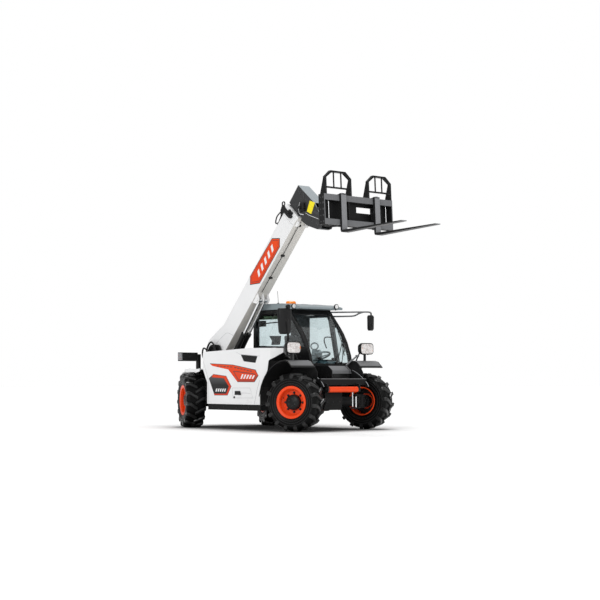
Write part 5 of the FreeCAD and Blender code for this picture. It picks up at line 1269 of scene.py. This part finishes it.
def swell(thing, cap):
    """Remeshes a pad, lets pressure fill it as cloth and keeps every point within a cap of where it was."""
    for other in bpy.context.selected_objects:
        other.select_set(False)
    bpy.context.view_layer.objects.active = thing
    thing.select_set(True)
    remesh = thing.modifiers.new("even_mesh", "REMESH")
    remesh.mode = "VOXEL"
    remesh.voxel_size = 0.006
    bpy.ops.object.modifier_apply(modifier=remesh.name)
    rest = [vert.co.copy() for vert in thing.data.vertices]
    fabric = thing.modifiers.new("fabric", "CLOTH")
    fabric.settings.use_pressure = True
    fabric.settings.uniform_pressure_force = 4.0
    fabric.settings.effector_weights.gravity = 0.0
    fabric.point_cache.frame_end = 20
    for step in range(1, 21):
        bpy.context.scene.frame_set(step)
    bpy.ops.object.modifier_apply(modifier=fabric.name)
    for vert, start in zip(thing.data.vertices, rest):
        move = vert.co - start
        if move.length > cap:
            vert.co = start + move * (cap / move.length)
    bpy.context.scene.frame_set(1)


def make_seat():
    for name, low, high, lean, belly, finish in PADS:
        pad = pad_form(name, low, high, lean, belly)
        swell(pad, 0.008)
        smooth = pad.modifiers.new("smooth", "SUBSURF")
        smooth.levels = smooth.render_levels = 1
        pad.data.materials.clear()
        pad.data.materials.append(FINISHES[finish])
        pad.data.shade_smooth()
        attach(pad, "chassis")
        if name == "seat_cushion":
            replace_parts(pad, "seat")
    seams = Shape()
    for y in (0.300, 0.640):
        seams.tube([(-1.40, y, 0.968), (-1.20, y, 0.972), (-1.03, y, 0.966)], 0.0035, 6)
        seams.tube([(-1.366, y, 1.02), (-1.374, y, 1.14), (-1.392, y, 1.26)], 0.0035, 6)
    piece("seat_piping", seams, "headrest_cloth", "chassis", 0)


make_seat()


# Front end: strut collars, rods, step plates, fender flaps and edges
def make_front_trim():
    ends = Shape()
    for y, way, size in ((-0.360, 1, 0.046), (0.250, -1, 0.048)):
        ends.turned((0.300, y, 0.600), (0, way, 0), [(-0.0135, size), (0.004, size), (0.007, size - 0.006),
                                                     (0.022, 0.044), (0.025, 0.0425)], 28)
        ends.bolt((0.300, y - 0.014 * way, 0.600), (0, -way, 0), 0.016)
    piece("strut_collars", ends, "black_plastic", "chassis", 0.0015)
    rods = Shape()
    rods.turned((0.190, 0.246, 0.345), (0, 0, 1), [(0, 0.011), (0.30, 0.011)], 14)
    rods.turned((0.190, 0.315, 0.335), (0, 0, 1), [(0, 0.013), (0.16, 0.013)], 14)
    piece("front_rods", rods, "chrome_rod", "chassis", 0)
    feet = Shape()
    feet.bar((0.148, 0.235), (0.205, 0.350), (0.318, 0.336))
    feet.bar((0.148, 0.225), (0.275, 0.352), (0.495, 0.530))
    feet.bar((0.148, 0.215), (0.215, 0.275), (0.640, 0.668))
    for y in (0.246, 0.315):
        feet.bolt((0.190, y, 0.318), (0, 0, -1), 0.012)
    piece("front_brackets", feet, "frame_grey", "chassis", 0.002)
    tread = Shape()
    lower = Shape()
    lower.bar((0.2095, 0.214), (-0.30, 0.01), (0.375, 0.462))
    for y in (-0.27, -0.145, -0.02):
        lower.bolt((0.214, y, 0.42), (1, 0, 0), 0.009)
    piece("axle_guard", lower, "frame_grey", "chassis", 0.001)
    # The step treads, the strip along the beam's top edge and the sloped step plates are a lighter grey than the
    # frame: painted highlights on faces that look up.
    for k in range(20):
        y = -0.43 + 0.045 * k
        tread.bar((0.165, 0.255), (y - 0.010, y + 0.010), (0.7545, 0.7575))
    tread.bar((0.262, 0.272), (-0.445, 0.445), (0.7495, 0.7580))
    tread.plate([(-0.1405, 0.9465), (-0.0495, 0.8805), (-0.0480, 0.8780), (-0.0480, 0.8300), (-0.0500, 0.8300),
                 (-0.1405, 0.9400)], 0.066, 0.402)
    tread.plate([(-0.1405, 0.9440), (-0.0520, 0.8780), (-0.0520, 0.8300), (-0.1405, 0.8300)], 0.4105, 0.500)
    brace = Shape().tube([(-0.050, 0.339, 0.950), (-0.050, 0.565, 1.096)], 0.013, 12)
    brace.bar((-0.062, -0.038), (0.545, 0.600), (1.080, 1.110))
    piece("lamp_brace", brace, "arm_grey", "chassis", 0.001)
    # The lighter grey on these plates is a painted highlight.
    piece("front_plates_painted_highlight", tread, "carriage_light", "chassis", 0.0008)


make_front_trim()


def make_fender_trim():
    flaps, beads, edges, shells, rear = (Shape() for _ in range(5))
    for side in (-1, 1):
        line = [(-0.02, 0.880), (0.060, 0.850), (0.150, 0.800), (0.230, 0.745), (0.290, 0.695), (0.330, 0.640)]
        lower = [(x - 0.055, z - 0.012) for x, z in line]
        flaps.plate(line + lower[::-1], *sorted((0.448 * side, 0.438 * side)))
        beads.tube([(x, 0.4435 * side, z) for x, z in line], 0.0045, 6)
        start = (-0.590 if side < 0 else -0.480) + 0.012
        arc = [start + (-0.005 - start) * k / 13 for k in range(14)]
        rise = [(x, 0.9025 * side, 0.395 + math.sqrt(0.6265 ** 2 - (x - 0.040) ** 2)) for x in arc]
        edges.tube(rise + [(0.062, 0.9025 * side, 1.0035), (0.1495, 0.9025 * side, 0.923)], 0.0055, 6, False)
        # A light grey skin over each black fender's top: a painted highlight where the top catches the light.
        top = [-0.20 + 0.05 * k for k in range(5)]
        top = [(x, 0.395 + math.sqrt(0.629 ** 2 - (x - 0.040) ** 2)) for x in top] + [(0.062, 1.0050),
                                                                                      (0.149, 0.9245)]
        shells.plate(top + [(x + 0.001, z + 0.0025) for x, z in top[::-1]], *sorted((0.462 * side, 0.893 * side)))
        for x in (-2.32, -2.08):
            rear.bolt((x, 0.86 * side, 0.905), (0, 0, 1), 0.009)
        rear.plate([(-2.39, 0.868), (-2.34, 0.856), (-2.05, 0.856), (-2.01, 0.868), (-2.01, 0.9035),
                    (-2.39, 0.9035)],
                   *sorted((0.8985 * side, 0.9075 * side)))
    piece("fender_flaps", flaps, "black_plastic", "chassis", 0.001)
    piece("flap_beads", beads, "seam_grey", "chassis", 0)
    piece("fender_edges", edges, "black_plastic", "chassis", 0)
    piece("fender_highlight_skins", shells, "fender_painted_highlight", "chassis", 0)
    piece("rear_fender_trim", rear, "white_paint", "chassis", 0.001)


make_fender_trim()


# Hoses and caps at the boom's foot, fittings behind the axles
def make_tower_trim():
    hoses = Shape()
    hoses.tube([(-2.600, -0.35, 1.02), (-2.640, -0.37, 1.14), (-2.600, -0.38, 1.235), (-2.530, -0.37, 1.20),
                (-2.520, -0.36, 1.08)], 0.013, 10)
    hoses.tube([(-2.570, -0.33, 1.05), (-2.560, -0.345, 1.20), (-2.500, -0.350, 1.300), (-2.430, -0.345, 1.330),
                (-2.360, -0.335, 1.240), (-2.340, -0.330, 1.12)], 0.014, 10)
    hoses.tube([(-2.545, -0.33, 1.05), (-2.520, -0.345, 1.18), (-2.460, -0.350, 1.262), (-2.400, -0.345, 1.270),
                (-2.340, -0.335, 1.20), (-2.320, -0.330, 1.10)], 0.014, 10)
    piece("tower_hoses", hoses, "hose_rubber", "chassis", 0)
    fittings = Shape()
    for x, z in ((-2.600, 1.02), (-2.570, 1.05), (-2.545, 1.04), (-2.520, 1.02), (-2.340, 1.10), (-2.320, 1.08)):
        fittings.turned((x, -0.334, z - 0.03), (0, 0, 1), [(0, 0.018), (0.04, 0.018)], 6)
    fittings.bar((-2.66, -2.30), (-0.345, -0.3105), (0.985, 1.025))
    for y, way in ((-0.322, -1), (0.032, 1)):
        fittings.turned((-2.385, y, 1.190), (0, way, 0), [(0, 0.050), (0.008, 0.050), (0.012, 0.042)], 28)
        fittings.bolt((-2.385, y + 0.010 * way, 1.228), (0, way, 0), 0.007)
    piece("tower_fittings", fittings, "cast_grey", "chassis", 0.001)
    for name, x in (("front", 0.0), ("rear", -2.350)):
        shape = Shape()
        shape.turned((x - 0.115, -0.40, 0.420), (0, 1, 0), [(0, 0.028), (0.03, 0.036), (0.52, 0.036),
                                                            (0.55, 0.028)], 24)
        for k in range(10):
            angle = 2 * math.pi * k / 10
            shape.bolt((x + 0.112 * math.cos(angle), -0.205, 0.420 + 0.112 * math.sin(angle)), (0, -1, 0), 0.008)
        piece(name + "_axle_fittings", shape, "cast_grey", "chassis", 0.001)


make_tower_trim()


# Floor, backdrop and light
FLOOR_WHITE = 0.95
SHADE_REACH = 1.5
SHADE_DEEPEST = 0.10
SKY_LIGHT = 0.50
SUNS = [
    # name, strength, softness in degrees, where it shines from
    ("top", 1.80, 26.0, Vector((-2.4, 2.4, 8.0))),
    ("key", 1.00, 24.0, Vector((3.0, -7.0, 3.2))),
    ("fill", 0.5, 40.0, Vector((9.0, 1.0, 4.0))),
]


def make_floor():
    """A white floor with a painted shadow: its colour darkens where the machine occludes it."""
    mesh = bpy.data.meshes.new("floor")
    half = 70.0
    mesh.from_pydata([(-half, -half, 0), (half, -half, 0), (half, half, 0), (-half, half, 0)], [], [(0, 1, 2, 3)])
    floor = bpy.data.objects.new("floor", mesh)
    bpy.context.scene.collection.objects.link(floor)
    finish = Finish("floor_white")
    # Painted shadow: ambient occlusion darkens the floor's colour under the machine.
    near = finish.node("ShaderNodeAmbientOcclusion", {"Distance": SHADE_REACH}, samples=12)
    tone = finish.node("ShaderNodeMapRange", {"Value": near.outputs["AO"], "From Min": 0.30, "From Max": 0.95,
                                              "To Min": SHADE_DEEPEST, "To Max": FLOOR_WHITE})
    finish.set(Roughness=0.9, Specular_IOR_Level=0.1)
    finish.wire("Base Color", tone.outputs["Result"])
    mesh.materials.append(finish.material)


def make_light():
    """A pale studio sky and three soft suns."""
    world = bpy.data.worlds.new("studio")
    bpy.context.scene.world = world
    world.use_nodes = True
    tree = world.node_tree
    back = tree.nodes["Background"]
    path = add_node(tree, "ShaderNodeLightPath")
    seen = add_node(tree, "ShaderNodeMath", {0: path.outputs["Is Camera Ray"],
                                             1: path.outputs["Is Transmission Ray"]},
                    operation="MAXIMUM")
    level = add_node(tree, "ShaderNodeMapRange", {"Value": seen.outputs[0], "To Min": SKY_LIGHT, "To Max": 1.0})
    tree.links.new(level.outputs["Result"], back.inputs["Strength"])
    back.inputs["Color"].default_value = rgb(1, 1, 1)
    for name, strength, softness, source in SUNS:
        data = bpy.data.lights.new(name, "SUN")
        data.energy = strength
        data.angle = math.radians(softness)
        lamp = bpy.data.objects.new(name, data)
        bpy.context.scene.collection.objects.link(lamp)
        lamp.rotation_mode = "QUATERNION"
        lamp.rotation_quaternion = (-source).to_track_quat("-Z", "Y")


make_floor()
make_light()
bpy.context.scene.view_settings.view_transform = "Standard"
